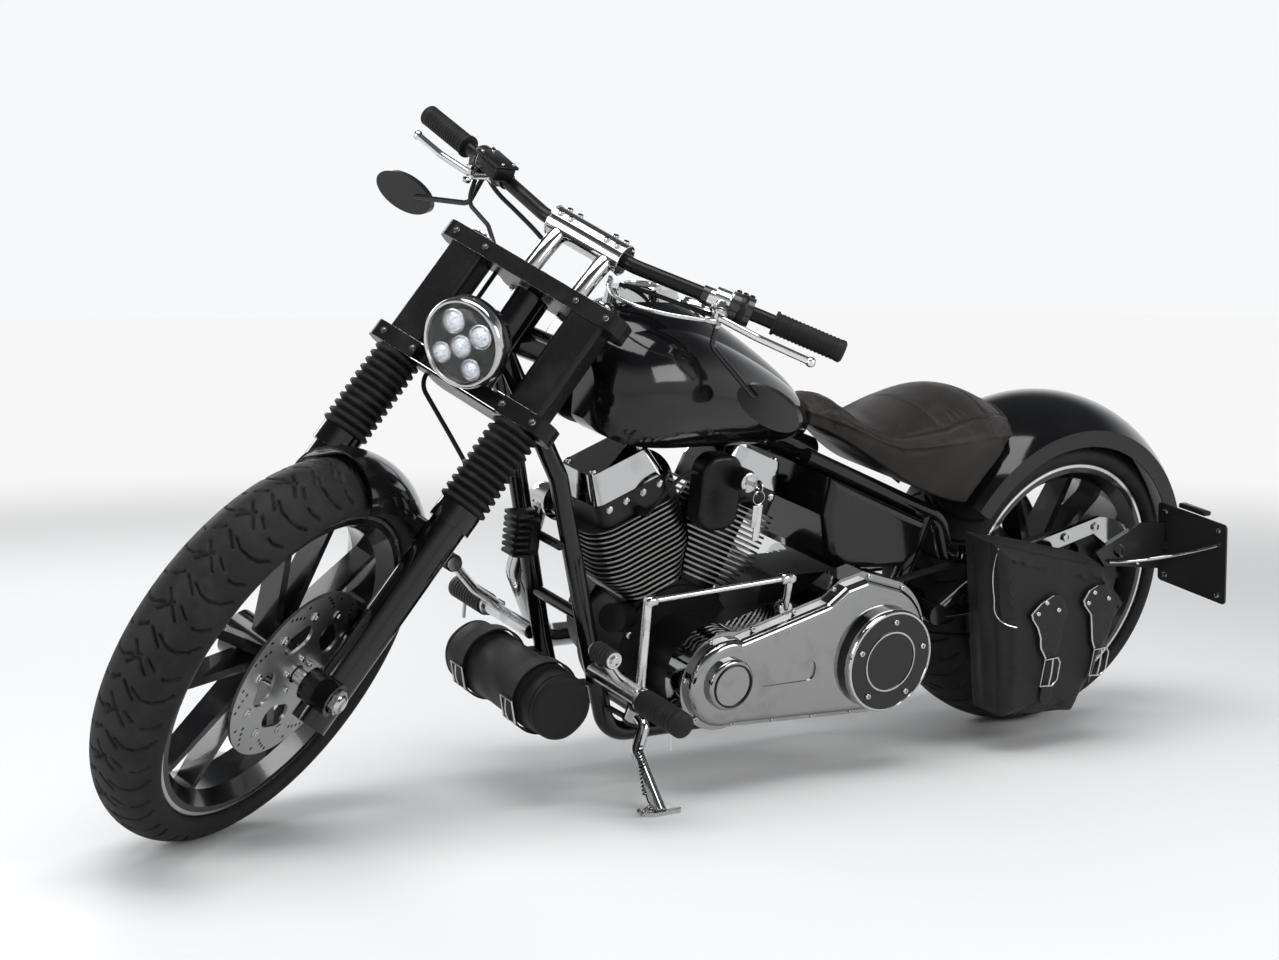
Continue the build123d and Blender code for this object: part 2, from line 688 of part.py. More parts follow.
head_low = STEM_FOOT + CLAMP_T / 2 + 4
head_high = STEM_TOP - CLAMP_T / 2 - 4
SPINE_KNEE = (1000.0, 0.0, 735.0)
SPINE_REAR = (600.0, 0.0, 598.0)
RAIL_TOP = (655.0, RAIL_Y, 606.0)
RAIL_KNEE = (342.0, 100.0, 478.0)
RAIL_FOOT = (320.0, 112.0, 402.0)
RAIL_BEND = 50.0
SPINE_BEND = 120.0
with BuildPart() as frame_spine:
    spine_start = steering_foot + steering_up * (head_low + 95)
    add_bar([spine_start, SPINE_KNEE, SPINE_REAR], SPINE_R, SPINE_BEND)
    add_bar([(630, -RAIL_Y - 8, 598), (630, RAIL_Y + 8, 598)], TUBE_R - 3)
    for sign in (-1, 1):
        add_bar(on_side((RAIL_TOP, RAIL_KNEE, RAIL_FOOT), sign), TUBE_R, RAIL_BEND)
        strut_bolt = (RAIL_FOOT[0] + 2, sign * (RAIL_FOOT[1] - 4), RAIL_FOOT[2] + 18)
        add_pin(strut_bolt, (0, sign, 0), 11, STRUT_Y - SEAT_GAP - abs(strut_bolt[1]))
    add_pin(steering_foot + steering_up * head_low, steering_up, HEAD_R, head_high - head_low)
    add_pin(
        steering_foot + steering_up * (head_low - 1), steering_up, STEM_R + SHAFT_FIT,
        head_high - head_low + 2, Mode.SUBTRACT,
    )

stand_pivot = Vector(*STAND_PIVOT)
stand_axis = Vector(0, sin(radians(STAND_AXIS_TILT)), cos(radians(STAND_AXIS_TILT)))
stand_outward = Vector(0, stand_axis.Z, -stand_axis.Y)
cradle_top = steering_foot + steering_up * (head_low + 70)
with BuildPart() as frame_cradle:
    for sign in (-1, 1):
        add_bar(
            [
                (cradle_top.X, sign * 12, cradle_top.Z),
                *on_side((DOWNTUBE_SHOULDER, DOWNTUBE_KNEE, DOWNTUBE_FOOT), sign),
                (SWING_PIVOT_X + 88, sign * CRADLE_Y, CRADLE_Z),
                (SWING_PIVOT_X + 44, sign * CRADLE_Y, SWING_PIVOT_Z),
                (RAIL_KNEE[0] + 28, sign * (RAIL_KNEE[1] - 3), RAIL_KNEE[2] + 11.5),
            ],
            TUBE_R,
            60,
        )
        rail = on_side((RAIL_TOP, RAIL_KNEE, RAIL_FOOT), sign)
        add_bar(rail, TUBE_R + SEAT_GAP, RAIL_BEND, Mode.SUBTRACT)
        add_pin(
            (SWING_PIVOT_X, sign * CRADLE_Y - 19, SWING_PIVOT_Z), (0, 1, 0),
            SWING_PIVOT_R + 11, 38,
        )
    add_pin(
        (SWING_PIVOT_X, -2 * CRADLE_Y, SWING_PIVOT_Z), (0, 1, 0), SWING_PIVOT_R + SHAFT_FIT,
        4 * CRADLE_Y, Mode.SUBTRACT,
    )
    spine_run = [spine_start, SPINE_KNEE, SPINE_REAR]
    add_bar(spine_run, SPINE_R + SEAT_GAP, SPINE_BEND, Mode.SUBTRACT)
    add_pin(
        steering_foot + steering_up * (head_low - 20), steering_up, HEAD_R + SEAT_GAP,
        head_high - head_low + 40, Mode.SUBTRACT,
    )
    add_bar([(1120, -CRADLE_Y, 348), (1120, CRADLE_Y, 348)], 11)
    add_pin(stand_pivot - stand_axis * 20, stand_axis, STAND_PIN_R, 40)
    for sign in (-1, 1):
        plate_centre = stand_pivot + stand_axis * (sign * (STAND_EYE_HALF + 4))
        add_pin(plate_centre - stand_axis * 3, stand_axis, 18, 6)
        lug = stand_pivot + stand_axis * (sign * (STAND_EYE_HALF + 7))
        lug_root = lug - stand_outward * ((lug.Y - CRADLE_Y) / stand_outward.Y)
        tube_slope = (DOWNTUBE_KNEE[0] - DOWNTUBE_FOOT[0]) / (DOWNTUBE_KNEE[2] - CRADLE_Z)
        tube_x = DOWNTUBE_FOOT[0] + (lug_root.Z - CRADLE_Z) * tube_slope
        add_bar([lug, Vector(tube_x, CRADLE_Y, lug_root.Z)], 5)

# Swingarm: two triangles joined at the pivot, open for the wheel
with BuildPart() as swingarm:
    for sign in (-1, 1):
        arm_y = sign * SWINGARM_Y
        add_bar([(42, arm_y, REAR_TYRE_R - 8), (SWING_PIVOT_X, arm_y, SWING_PIVOT_Z)], SWINGARM_R)
        add_bar(
            [(42, arm_y, REAR_TYRE_R + 8), (306, arm_y, 364), (SWING_PIVOT_X, arm_y, SWING_PIVOT_Z)],
            SWINGARM_R, 30,
        )
        with BuildSketch(side(arm_y + SWINGARM_PLATE_T / 2)):
            with Locations((10, REAR_TYRE_R)):
                RectangleRounded(110, 66, 20)
        extrude(amount=SWINGARM_PLATE_T)
    for bag_bolt_x in (112, 250):
        add_pin(
            (bag_bolt_x, SWINGARM_Y, REAR_TYRE_R - 10), (0, 1, 0), 8, BAG_Y - SEAT_GAP - SWINGARM_Y
        )
    pivot_half = SWINGARM_Y + SWINGARM_R
    add_pin((SWING_PIVOT_X, -pivot_half, SWING_PIVOT_Z), (0, 1, 0), SWING_PIVOT_R, 2 * pivot_half)
    add_pin((0, -240, REAR_TYRE_R), (0, 1, 0), AXLE_R + SHAFT_FIT, 480, Mode.SUBTRACT)

# Crankcase with the gearbox behind it, the oil filter and the cam cover on the right
OIL_FILTER_R = 26.0
with BuildPart() as crankcase:
    with BuildSketch(side(CASE_HALF_W)):
        with Locations((CRANK_X, CRANK_Z)):
            Circle(CASE_R)
        with Locations((CRANK_X - 90, CRANK_Z - 68)):
            RectangleRounded(290, 140, 30)
        with Locations((610, 282)):
            RectangleRounded(240, 196, 36)
    extrude(amount=2 * CASE_HALF_W)
    with BuildSketch(side(PRIMARY_INNER_Y - SHAFT_FIT)):
        with Locations((CRANK_X - 4, CRANK_Z - 2)):
            Circle(80)
        with Locations((740, 250)):
            RectangleRounded(330, 160, 30)
    extrude(amount=PRIMARY_INNER_Y - SHAFT_FIT - CASE_HALF_W)
    for tilt in (-CYLINDER_ANGLE, CYLINDER_ANGLE):
        with BuildSketch(on_cylinder(tilt, 40)):
            Rectangle(2 * BARREL_R - 16, 2 * BARREL_R)
        extrude(amount=DECK_H - 40)
    with BuildSketch(side(-CASE_HALF_W)):
        with Locations((CRANK_X + 10, CRANK_Z + 30)):
            Circle(108)
    extrude(amount=54)
    add_pin((CRANK_X + 78, 28, CRANK_Z + 66), (0.82, 0.53, 0.2), OIL_FILTER_R, 88)
    for mount_x in (920, 720):
        mount_half = CRADLE_Y - TUBE_R - SEAT_GAP
        add_pin((mount_x, -mount_half, CRADLE_Z), (0, 1, 0), 12, 2 * mount_half)

# Cylinders: thin fins that widen upward round each barrel, then the head
with BuildPart() as cylinders:
    for tilt in (-CYLINDER_ANGLE, CYLINDER_ANGLE):
        with BuildSketch(on_cylinder(tilt, DECK_H + SHAFT_FIT)):
            Circle(BARREL_R)
        extrude(amount=FIN_COUNT * FIN_PITCH + HEAD_H)
        for fin in range(FIN_COUNT):
            reach = min(62 + 6.5 * fin, 98)
            with BuildSketch(on_cylinder(tilt, DECK_H + 12 + fin * FIN_PITCH)):
                RectangleRounded(2 * reach, 2 * FIN_HALF_Y, min(reach, FIN_HALF_Y) * 0.6)
            extrude(amount=FIN_T)
        with BuildSketch(on_cylinder(tilt, DECK_H + FIN_COUNT * FIN_PITCH + 6)):
            RectangleRounded(150, 140, 24)
        extrude(amount=HEAD_H)
    with BuildSketch(level(CRANK_Z + DECK_H)):
        with Locations((CRANK_X, 0)):
            Rectangle(VALLEY_GAP, 400)
    extrude(amount=400, mode=Mode.SUBTRACT)

HEAD_TOP = DECK_H + FIN_COUNT * FIN_PITCH + 6 + HEAD_H
with BuildPart() as rocker_covers:
    for tilt in (-CYLINDER_ANGLE, CYLINDER_ANGLE):
        with BuildSketch(on_cylinder(tilt, HEAD_TOP + SHAFT_FIT)):
            RectangleRounded(150, 132, 18)
        with BuildSketch(on_cylinder(tilt, HEAD_TOP + ROCKER_H)):
            RectangleRounded(126, 104, 16)
        loft()
    with BuildSketch(level(CRANK_Z + DECK_H)):
        with Locations((CRANK_X, 0)):
            Rectangle(VALLEY_GAP, 400)
    extrude(amount=400, mode=Mode.SUBTRACT)

# Ignition switch in its housing, between the cylinders on the left
SWITCH_X = 844.0
SWITCH_Z = 591.0
with BuildPart() as key_switch:
    with BuildSketch(side(FIN_HALF_Y + SEAT_GAP + 40)):
        with Locations((CRANK_X - 27, SWITCH_Z - 27)):
            RectangleRounded(86, 138, 34)
    extrude(amount=40)
    fillet(key_switch.faces().sort_by(Axis.Y)[-1].edges(), 10)
    add_pin((SWITCH_X, FIN_HALF_Y + 8, SWITCH_Z), (0, 1, 0), 21, 52)
    add_pin((SWITCH_X, FIN_HALF_Y + 56, SWITCH_Z), (0, 1, 0), 15, 12)

# Primary cover on the left: flange, raised body with an oblong recess, front boss
PRIMARY_FLANGE_W = 11.0
PRIMARY_STEP = 22.0
with BuildPart() as primary_cover:
    with BuildSketch(side(PRIMARY_Y - PRIMARY_STEP)) as primary_outline:
        with BuildLine():
            front = (CRANK_X - 4, CRANK_Z - 4)
            Polyline(
                (front[0] - 20, front[1] + 89), (700, 388), (662, 416), (612, 428), (520, 400)
            )
            ThreePointArc(
                (520, 400), (CLUTCH_X - 112, CLUTCH_Z + 10), (CLUTCH_X + 4, CLUTCH_Z - 114)
            )
            Line((CLUTCH_X + 4, CLUTCH_Z - 114), (front[0] - 24, front[1] - 88))
            ThreePointArc(
                (front[0] - 24, front[1] - 88), (front[0] + 90, front[1]),
                (front[0] - 20, front[1] + 89),
            )
        make_face()
    extrude(amount=PRIMARY_Y - PRIMARY_STEP - PRIMARY_INNER_Y)
    with BuildSketch(side(PRIMARY_Y)):
        offset(primary_outline.sketch_local, amount=-PRIMARY_FLANGE_W)
    extrude(amount=PRIMARY_STEP)
    fillet(primary_cover.faces().sort_by(Axis.Y)[-1].edges(), 14)
    with BuildSketch(side(PRIMARY_Y)):
        with Locations(((CRANK_X + CLUTCH_X) / 2 + 44, CRANK_Z + 3)):
            RectangleRounded(126, 38, 15)
    extrude(amount=3, mode=Mode.SUBTRACT)
    add_pin((CRANK_X, PRIMARY_Y - 2, CRANK_Z), (0, 1, 0), 47, 16)
    fillet(primary_cover.faces().sort_by(Axis.Y)[-1].edges(), 8)

with BuildPart() as clutch_cover:
    add_pin(
        (CLUTCH_X, PRIMARY_Y + SHAFT_FIT, CLUTCH_Z), (0, 1, 0), CLUTCH_COVER_R, CLUTCH_COVER_T
    )
    fillet(clutch_cover.faces().sort_by(Axis.Y)[-1].edges(), 8)

# Air cleaner and exhaust on the right
with BuildPart() as air_cleaner:
    add_pin((CRANK_X - 5, -FIN_HALF_Y - SEAT_GAP, 500), (0, -1, 0), 40, 44)
    add_pin((CRANK_X - 5, -FIN_HALF_Y - 40, 500), (0, -1, 0), 88, 56)
    fillet(air_cleaner.faces().sort_by(Axis.Y)[0].edges(), 18)

PIPE_R = 23.0
MUFFLER_R = 40.0
EXHAUST_Y = -232.0
PORT_X = 180.0
PORT_Z = 510.0
with BuildPart() as exhaust:
    for port_x, knee, turn_x, low_z, muffler_x in (
        (CRANK_X + PORT_X, (1080, -212, 340), 1000, 196, 720),
        (CRANK_X - PORT_X, (640, -212, 380), 540, 296, 450),
    ):
        port = (port_x, -FIN_HALF_Y - SEAT_GAP, PORT_Z)
        port_out = (port_x, -150, PORT_Z)
        run_in = (turn_x, EXHAUST_Y, low_z)
        run_out = (muffler_x - 20, EXHAUST_Y, low_z)
        add_bar([port, port_out, knee, run_in, run_out], PIPE_R, 36)
        length = muffler_x + 80
        add_pin((muffler_x, EXHAUST_Y, low_z), (-1, 0, 0), MUFFLER_R, length)
        add_pin((-40, EXHAUST_Y, low_z), (-1, 0, 0), MUFFLER_R - 3, 60, Mode.SUBTRACT)

# Oil tank under the seat, hung from the rails
OIL_TANK_HALF_W = 140.0
rail_rake = atan2(RAIL_TOP[2] - RAIL_KNEE[2], RAIL_TOP[0] - RAIL_KNEE[0])
OIL_TANK_DROP = (TUBE_R + SEAT_GAP) / cos(rail_rake)


def rail_height(x):
    """Height of a seat rail's centre line at a place along the machine."""
    slope = (RAIL_TOP[2] - RAIL_KNEE[2]) / (RAIL_TOP[0] - RAIL_KNEE[0])
    return RAIL_TOP[2] + (x - RAIL_TOP[0]) * slope


with BuildPart() as oil_tank:
    with BuildSketch(side(OIL_TANK_HALF_W)):
        with BuildLine():
            Polyline(
                (646, rail_height(646) - OIL_TANK_DROP), (654, 512), (632, 430), (600, 404),
                (446, 398), (412, 426), (404, rail_height(404) - OIL_TANK_DROP), close=True,
            )
        make_face()
    extrude(amount=2 * OIL_TANK_HALF_W)
    fillet(oil_tank.faces().sort_by(Axis.Y)[-1].edges(), 18)
    fillet(oil_tank.faces().sort_by(Axis.Y)[0].edges(), 18)

# Fuel tank: a few sections from the steering head to its tail
TANK_SECTIONS = [
    # x, floor half-width, floor z, belly half-width, belly z, crown half-width, crown z, top z
    (1150.0, 66.0, 700.0, 92.0, 760.0, 56.0, 808.0, 824.0),
    (1095.0, 122.0, 666.0, 158.0, 750.0, 96.0, 850.0, 880.0),
    (1000.0, 126.0, 656.0, 166.0, 745.0, 96.0, 856.0, 898.0),
    (850.0, 102.0, 648.0, 140.0, 725.0, 74.0, 812.0, 848.0),
    (720.0, 66.0, 642.0, 94.0, 690.0, 46.0, 748.0, 768.0),
    (640.0, 26.0, 638.0, 40.0, 664.0, 20.0, 690.0, 698.0),
]
with BuildPart() as fuel_tank:
    for x, floor_w, floor_z, belly_w, belly_z, crown_w, crown_z, top_z in TANK_SECTIONS:
        with BuildSketch(across(x, 0)):
            with BuildLine():
                Line((-floor_w, floor_z), (floor_w, floor_z))
                ThreePointArc((floor_w, floor_z), (belly_w, belly_z), (crown_w, crown_z))
                ThreePointArc((crown_w, crown_z), (0, top_z), (-crown_w, crown_z))
                ThreePointArc((-crown_w, crown_z), (-belly_w, belly_z), (-floor_w, floor_z))
            make_face()
    loft()
    with BuildLine() as tunnel_path:
        FilletPolyline(spine_start, SPINE_KNEE, SPINE_REAR, radius=SPINE_BEND)
    with BuildSketch(Plane(origin=tunnel_path.line @ 0, z_dir=tunnel_path.line % 0)):
        Circle(SPINE_R + SEAT_GAP)
    sweep(path=tunnel_path.line, mode=Mode.SUBTRACT)
    with BuildSketch(side(SPINE_R + SEAT_GAP)):
        with BuildLine():
            Polyline(
                (1260, 560), (1260, 835), (1000, 737), (590, 590), (590, 560), close=True
            )
        make_face()
    extrude(amount=2 * (SPINE_R + SEAT_GAP), mode=Mode.SUBTRACT)
    add_pin(
        steering_foot + steering_up * (head_low - 60), steering_up, HEAD_R + 6,
        head_high - head_low + 120, Mode.SUBTRACT,
    )

# Seat: narrow nose, dip for the rider, raised back, hollowed over the rear fender
SEAT_SECTIONS = [
    # x, half-width, floor z, side z, top z
    (640.0, 46.0, 664.0, 690.0, 708.0),
    (560.0, 86.0, 628.0, 664.0, 684.0),
    (470.0, 126.0, 572.0, 630.0, 652.0),
    (375.0, 150.0, 530.0, 640.0, 688.0),
    (280.0, 150.0, 516.0, 650.0, 708.0),
    (170.0, 108.0, 560.0, 640.0, 678.0),
]
with BuildPart() as seat:
    for x, half_w, floor_z, side_z, top_z in SEAT_SECTIONS:
        with BuildSketch(across(x, 0)):
            with BuildLine():
                Line((-half_w * 0.9, floor_z), (half_w * 0.9, floor_z))
                Line((half_w * 0.9, floor_z), (half_w, side_z))
                ThreePointArc((half_w, side_z), (0, top_z), (-half_w, side_z))
                Line((-half_w, side_z), (-half_w * 0.9, floor_z))
            make_face()
    loft()
    add_pin(
        (0, -200, REAR_TYRE_R), (0, 1, 0), REAR_FENDER_R + SEAT_GAP, 400, Mode.SUBTRACT
    )

# Rear fender: round crown with side skirts
with BuildPart() as rear_fender:
    crown = REAR_FENDER_R
    half = REAR_FENDER_HALF_W
    wall = FENDER_WALL
    plane = Plane(
        origin=(0, 0, REAR_TYRE_R), x_dir=(0, 1, 0),
        z_dir=(sin(radians(32)), 0, -cos(radians(32))),
    )
    with BuildSketch(plane):
        with BuildLine():
            Line((half - wall, 285), (half, 285))
            Line((half, 285), (half, crown - 48))
            ThreePointArc((half, crown - 48), (0, crown), (-half, crown - 48))
            Line((-half, crown - 48), (-half, 285))
            Line((-half, 285), (-half + wall, 285))
            Line((-half + wall, 285), (-half + wall, crown - 50))
            ThreePointArc(
                (-half + wall, crown - 50), (0, crown - wall), (half - wall, crown - 50)
            )
            Line((half - wall, crown - 50), (half - wall, 285))
        make_face()
    revolve(axis=Axis((0, 0, REAR_TYRE_R), (0, -1, 0)), revolution_arc=140)

# Chrome struts that carry the fender
with BuildPart() as fender_struts:
    with BuildSketch(side(STRUT_Y + STRUT_T)):
        with BuildLine():
            Polyline((330, 440), (330, 404), (200, 384), (-20, 438), (-160, 352), (-176, 380))
            ThreePointArc((-176, 380), (-110, 446), (-30, 472))
            Polyline((-30, 472), (190, 420), (330, 440))
        make_face()
    extrude(amount=STRUT_T)
    mirror(about=Plane.XZ)

# Side bag
with BuildPart() as saddlebag:
    with BuildSketch(side(BAG_Y + BAG_W)):
        with BuildLine():
            Polyline((362, 482), (62, 418), (-14, 330), (48, 170), (84, 112), (276, 124), (362, 482))
        make_face()
    extrude(amount=BAG_W)
    fillet(saddlebag.faces().sort_by(Axis.Y)[-1].edges(), 14)

# Number plate at the left of the rear wheel, on its arm from the axle
PLATE_X = -232.0
PLATE_TILT = 12.0
with BuildPart() as number_plate:
    with BuildSketch(side(STRUT_Y + STRUT_T + SEAT_GAP + 5)):
        with BuildLine():
            Polyline(
                (-30, 400), (-150, 452), (PLATE_X + 8, 446), (PLATE_X + 8, 350), (-60, 370),
                close=True,
            )
        make_face()
        with Locations((-96, 398)):
            Ellipse(20, 13, rotation=30, mode=Mode.SUBTRACT)
    extrude(amount=5)
    plate_back = Vector(-cos(radians(PLATE_TILT)), 0, sin(radians(PLATE_TILT)))
    with BuildSketch(Plane(origin=(PLATE_X, 236, 402), x_dir=(0, 1, 0), z_dir=plate_back)):
        RectangleRounded(180, 172, 8)
    extrude(amount=4)
    add_bar([(PLATE_X + 10, 170, 400), (PLATE_X - 2, 170, 400)], 8)

# Tool roll across the front of the frame
ROLL_X = 1196.0
ROLL_Z = 216.0
ROLL_R = 58.0
ROLL_HALF_L = 160.0
with BuildPart() as tool_roll:
    add_pin((ROLL_X, -ROLL_HALF_L, ROLL_Z), (0, 1, 0), ROLL_R, 2 * ROLL_HALF_L)
    fillet(tool_roll.edges().filter_by(GeomType.CIRCLE), 10)
    for sign in (-1, 1):
        add_pin((ROLL_X, sign * CRADLE_Y - 14, ROLL_Z), (0, 1, 0), ROLL_R + 3, 28)
        with BuildSketch(side(sign * CRADLE_Y + 14)):
            with Locations((ROLL_X - ROLL_R - 20, ROLL_Z + 14)):
                Rectangle(70, 5)
        extrude(amount=28)
        downtube = on_side((DOWNTUBE_SHOULDER, DOWNTUBE_KNEE, DOWNTUBE_FOOT), sign)
        add_bar(downtube, TUBE_R + SEAT_GAP, 60, Mode.SUBTRACT)
        with BuildSketch(side(sign * CRADLE_Y + 20)):
            with Locations((1020, ROLL_Z + 14)):
                Rectangle(120, 20)
        extrude(amount=40, mode=Mode.SUBTRACT)

# Finned regulator in front of the downtubes
REGULATOR_Z = 484.0
REGULATOR_H = 84.0
REGULATOR_BAR_R = 8.0
REGULATOR_FINS = 7
tube_rake = atan2(DOWNTUBE_SHOULDER[0] - DOWNTUBE_KNEE[0], DOWNTUBE_SHOULDER[2] - DOWNTUBE_KNEE[2])
with BuildPart() as regulator:
    bar_x = downtube_x(REGULATOR_Z) + (TUBE_R + REGULATOR_BAR_R + SEAT_GAP) / cos(tube_rake)
    with BuildSketch(across(bar_x + 6, REGULATOR_Z)):
        RectangleRounded(62, REGULATOR_H, 26)
    extrude(amount=18)
    for fin in range(REGULATOR_FINS):
        fin_z = REGULATOR_Z - 36 + fin * (REGULATOR_H - 3.5) / REGULATOR_FINS
        with BuildSketch(level(fin_z)):
            with Locations((bar_x + 32, 0)):
                RectangleRounded(36, 56, 10)
        extrude(amount=4)
    bar_ends = ((bar_x, -CRADLE_Y, REGULATOR_Z), (bar_x, CRADLE_Y, REGULATOR_Z))
    add_bar(bar_ends, REGULATOR_BAR_R)

# Foot controls with pegs, shift lever, brake pedal and shift rod
with BuildPart() as foot_controls:
    for sign in (-1, 1):
        arm_root = sign * (CRADLE_Y + TUBE_R + SEAT_GAP)
        add_bar([(PEG_X, arm_root, PEG_Z), (PEG_X, sign * PEG_IN_Y, PEG_Z)], 14)
        add_pin((PEG_X, sign * (PEG_IN_Y - 4), PEG_Z), (0, sign, 0), PEG_R, PEG_OUT_Y - PEG_IN_Y)
        add_bar(
            [(1094, sign * 236, 262), (1150, sign * 244, 300), (1196, sign * 252, 352)], 9, 40
        )
        add_pin((1196, sign * 240, 352), (0, sign, 0), 14, 58)
    add_bar([(1094, 236, 262), (1090, 226, 420)], 8)
    add_bar([(1090, 224, 420), (790, 224, 436)], 5)

# Drive belt round the rear pulley, under the gearbox cover
BELT_T = 4.0
FRONT_PULLEY_R = 38.0
with BuildPart() as drive_belt:
    for radius, mode in ((BELT_T + 0.6, Mode.ADD), (0.6, Mode.SUBTRACT)):
        with BuildSketch(side(PULLEY_Y + PULLEY_W - 2)):
            with BuildLine():
                front_x = 520.0
                tilt = asin((PULLEY_R - FRONT_PULLEY_R) / front_x)
                rear_r = PULLEY_R + radius
                front_r = FRONT_PULLEY_R + radius
                up_rear = (rear_r * sin(tilt), REAR_TYRE_R + rear_r * cos(tilt))
                up_front = (front_x + front_r * sin(tilt), REAR_TYRE_R + front_r * cos(tilt))
                low_rear = (up_rear[0], REAR_TYRE_R - rear_r * cos(tilt))
                low_front = (up_front[0], REAR_TYRE_R - front_r * cos(tilt))
                Line(up_rear, up_front)
                ThreePointArc(up_front, (front_x + front_r, REAR_TYRE_R), low_front)
                Line(low_front, low_rear)
                ThreePointArc(low_rear, (-rear_r, REAR_TYRE_R), up_rear)
            make_face()
        extrude(amount=PULLEY_W - 4, mode=mode)

# Rear caliper on the right, over the disc
with BuildPart() as rear_caliper:
    disc_face = REAR_HUB_RIGHT - DISC_T
    with BuildSketch(side(REAR_HUB_RIGHT + 22)):
        with Locations((96, REAR_TYRE_R - 80)):
            RectangleRounded(56, 96, 12)
    extrude(amount=46)
    with BuildSketch(side(REAR_HUB_RIGHT + MOVING_GAP)):
        with Locations((0, REAR_TYRE_R)):
            Circle(REAR_DISC_R + MOVING_GAP)
    extrude(amount=DISC_T + 2 * MOVING_GAP, mode=Mode.SUBTRACT)
    with BuildSketch(side(-SWINGARM_Y + SWINGARM_R + SEAT_GAP + 8)):
        with Locations((96, REAR_TYRE_R - 34)):
            RectangleRounded(34, 78, 6)
    extrude(amount=8)

# Tank console
with BuildPart() as tank_console:
    with BuildSketch(level(880)):
        with Locations((1010, 0)):
            Ellipse(76, 42)
    extrude(amount=32, taper=10)
    add(Pos(0, 0, SEAT_GAP) * fuel_tank.part, mode=Mode.SUBTRACT)

# Cables held by the machine
with BuildPart() as brake_hose:
    hose_start = Vector(bridge.X + 33, -bridge.Y - 18, bridge.Z - 19.1)
    hose_points = [hose_start, hose_start + Vector(10, 4, -40)]
    for u, y, v in (
        (-94, -165, 806), (-71, -90, 752), (-70, -87, 560), (-74, -84, 508),
        (-112, -10, 470), (-110, 52, 440), (-94, 98, 360), (-84, 104, 270),
        (CALIPER_U, 100, CALIPER_V + CALIPER_L / 2 + SEAT_GAP),
    ):
        hose_points.append(along_fork(v).from_local_coords(Vector(u, y, 0)))
    with BuildLine() as hose_path:
        FilletPolyline(*hose_points, radius=32)
    with BuildSketch(Plane(origin=hose_path.line @ 0, z_dir=hose_path.line % 0)):
        Circle(4)
    sweep(path=hose_path.line)

# Parked place: the machine leans on its stand until both tyres touch the ground
steer_frame = Location(Plane(origin=steering_foot, z_dir=steering_up))
steered = steer_frame * Location((0, 0, 0), (0, 0, STEER_LOCK)) * steer_frame.inverse()


def parked_at(pitch, rise):
    return Location((0, 0, rise), (-LEAN, pitch, 0))


def lowest_point(place, centre, tyre_r, crown_r):
    """Lowest height of a round-crowned tyre whose axle runs across the machine."""
    middle = (place * Location(centre)).position
    beside = (place * Location(Vector(*centre) + Vector(0, 1, 0))).position
    axle_rise = (beside - middle).Z
    return middle.Z - (tyre_r - crown_r) * sqrt(1 - axle_rise**2) - crown_r


pitch = 0.0
rise = 0.0
for _ in range(12):
    place = parked_at(pitch, rise)
    rear_low = lowest_point(place, (0, 0, REAR_TYRE_R), REAR_TYRE_R, REAR_CROWN_R)
    front_low = lowest_point(
        place * steered, (WHEELBASE, 0, FRONT_TYRE_R), FRONT_TYRE_R, FRONT_CROWN_R
    )
    pitch += degrees((front_low - rear_low) / WHEELBASE)
    rise -= rear_low
parked = parked_at(pitch, rise)
ground = Plane(parked.inverse())

# Side stand: eye on the frame's pin, leg, flat foot on the ground
with BuildPart() as side_stand:
    foot_local = ground.to_local_coords(Vector(STAND_FOOT_X, STAND_FOOT_Y, 60))
    foot_centre = ground.from_local_coords((foot_local.X, foot_local.Y, 0))
    foot_top = foot_centre + ground.z_dir * (STAND_PAD_T / 2)
    shoulder = stand_pivot + stand_outward * 34
    knee = shoulder + Vector(22, 16, -40)
    add_bar([stand_pivot, shoulder, knee, foot_top], STAND_R, 16)
    with BuildSketch(Plane(origin=foot_centre, x_dir=ground.x_dir, z_dir=ground.z_dir)):
        SlotOverall(78, 34)
    extrude(amount=STAND_PAD_T)
    add_pin(stand_pivot - stand_axis * STAND_EYE_HALF, stand_axis, 17, 2 * STAND_EYE_HALF)
    add_pin(
        stand_pivot - stand_axis * 14, stand_axis, STAND_PIN_R + SHAFT_FIT, 28, Mode.SUBTRACT
    )
    split(bisect_by=Plane(origin=ground.origin, z_dir=ground.z_dir), keep=Keep.TOP)

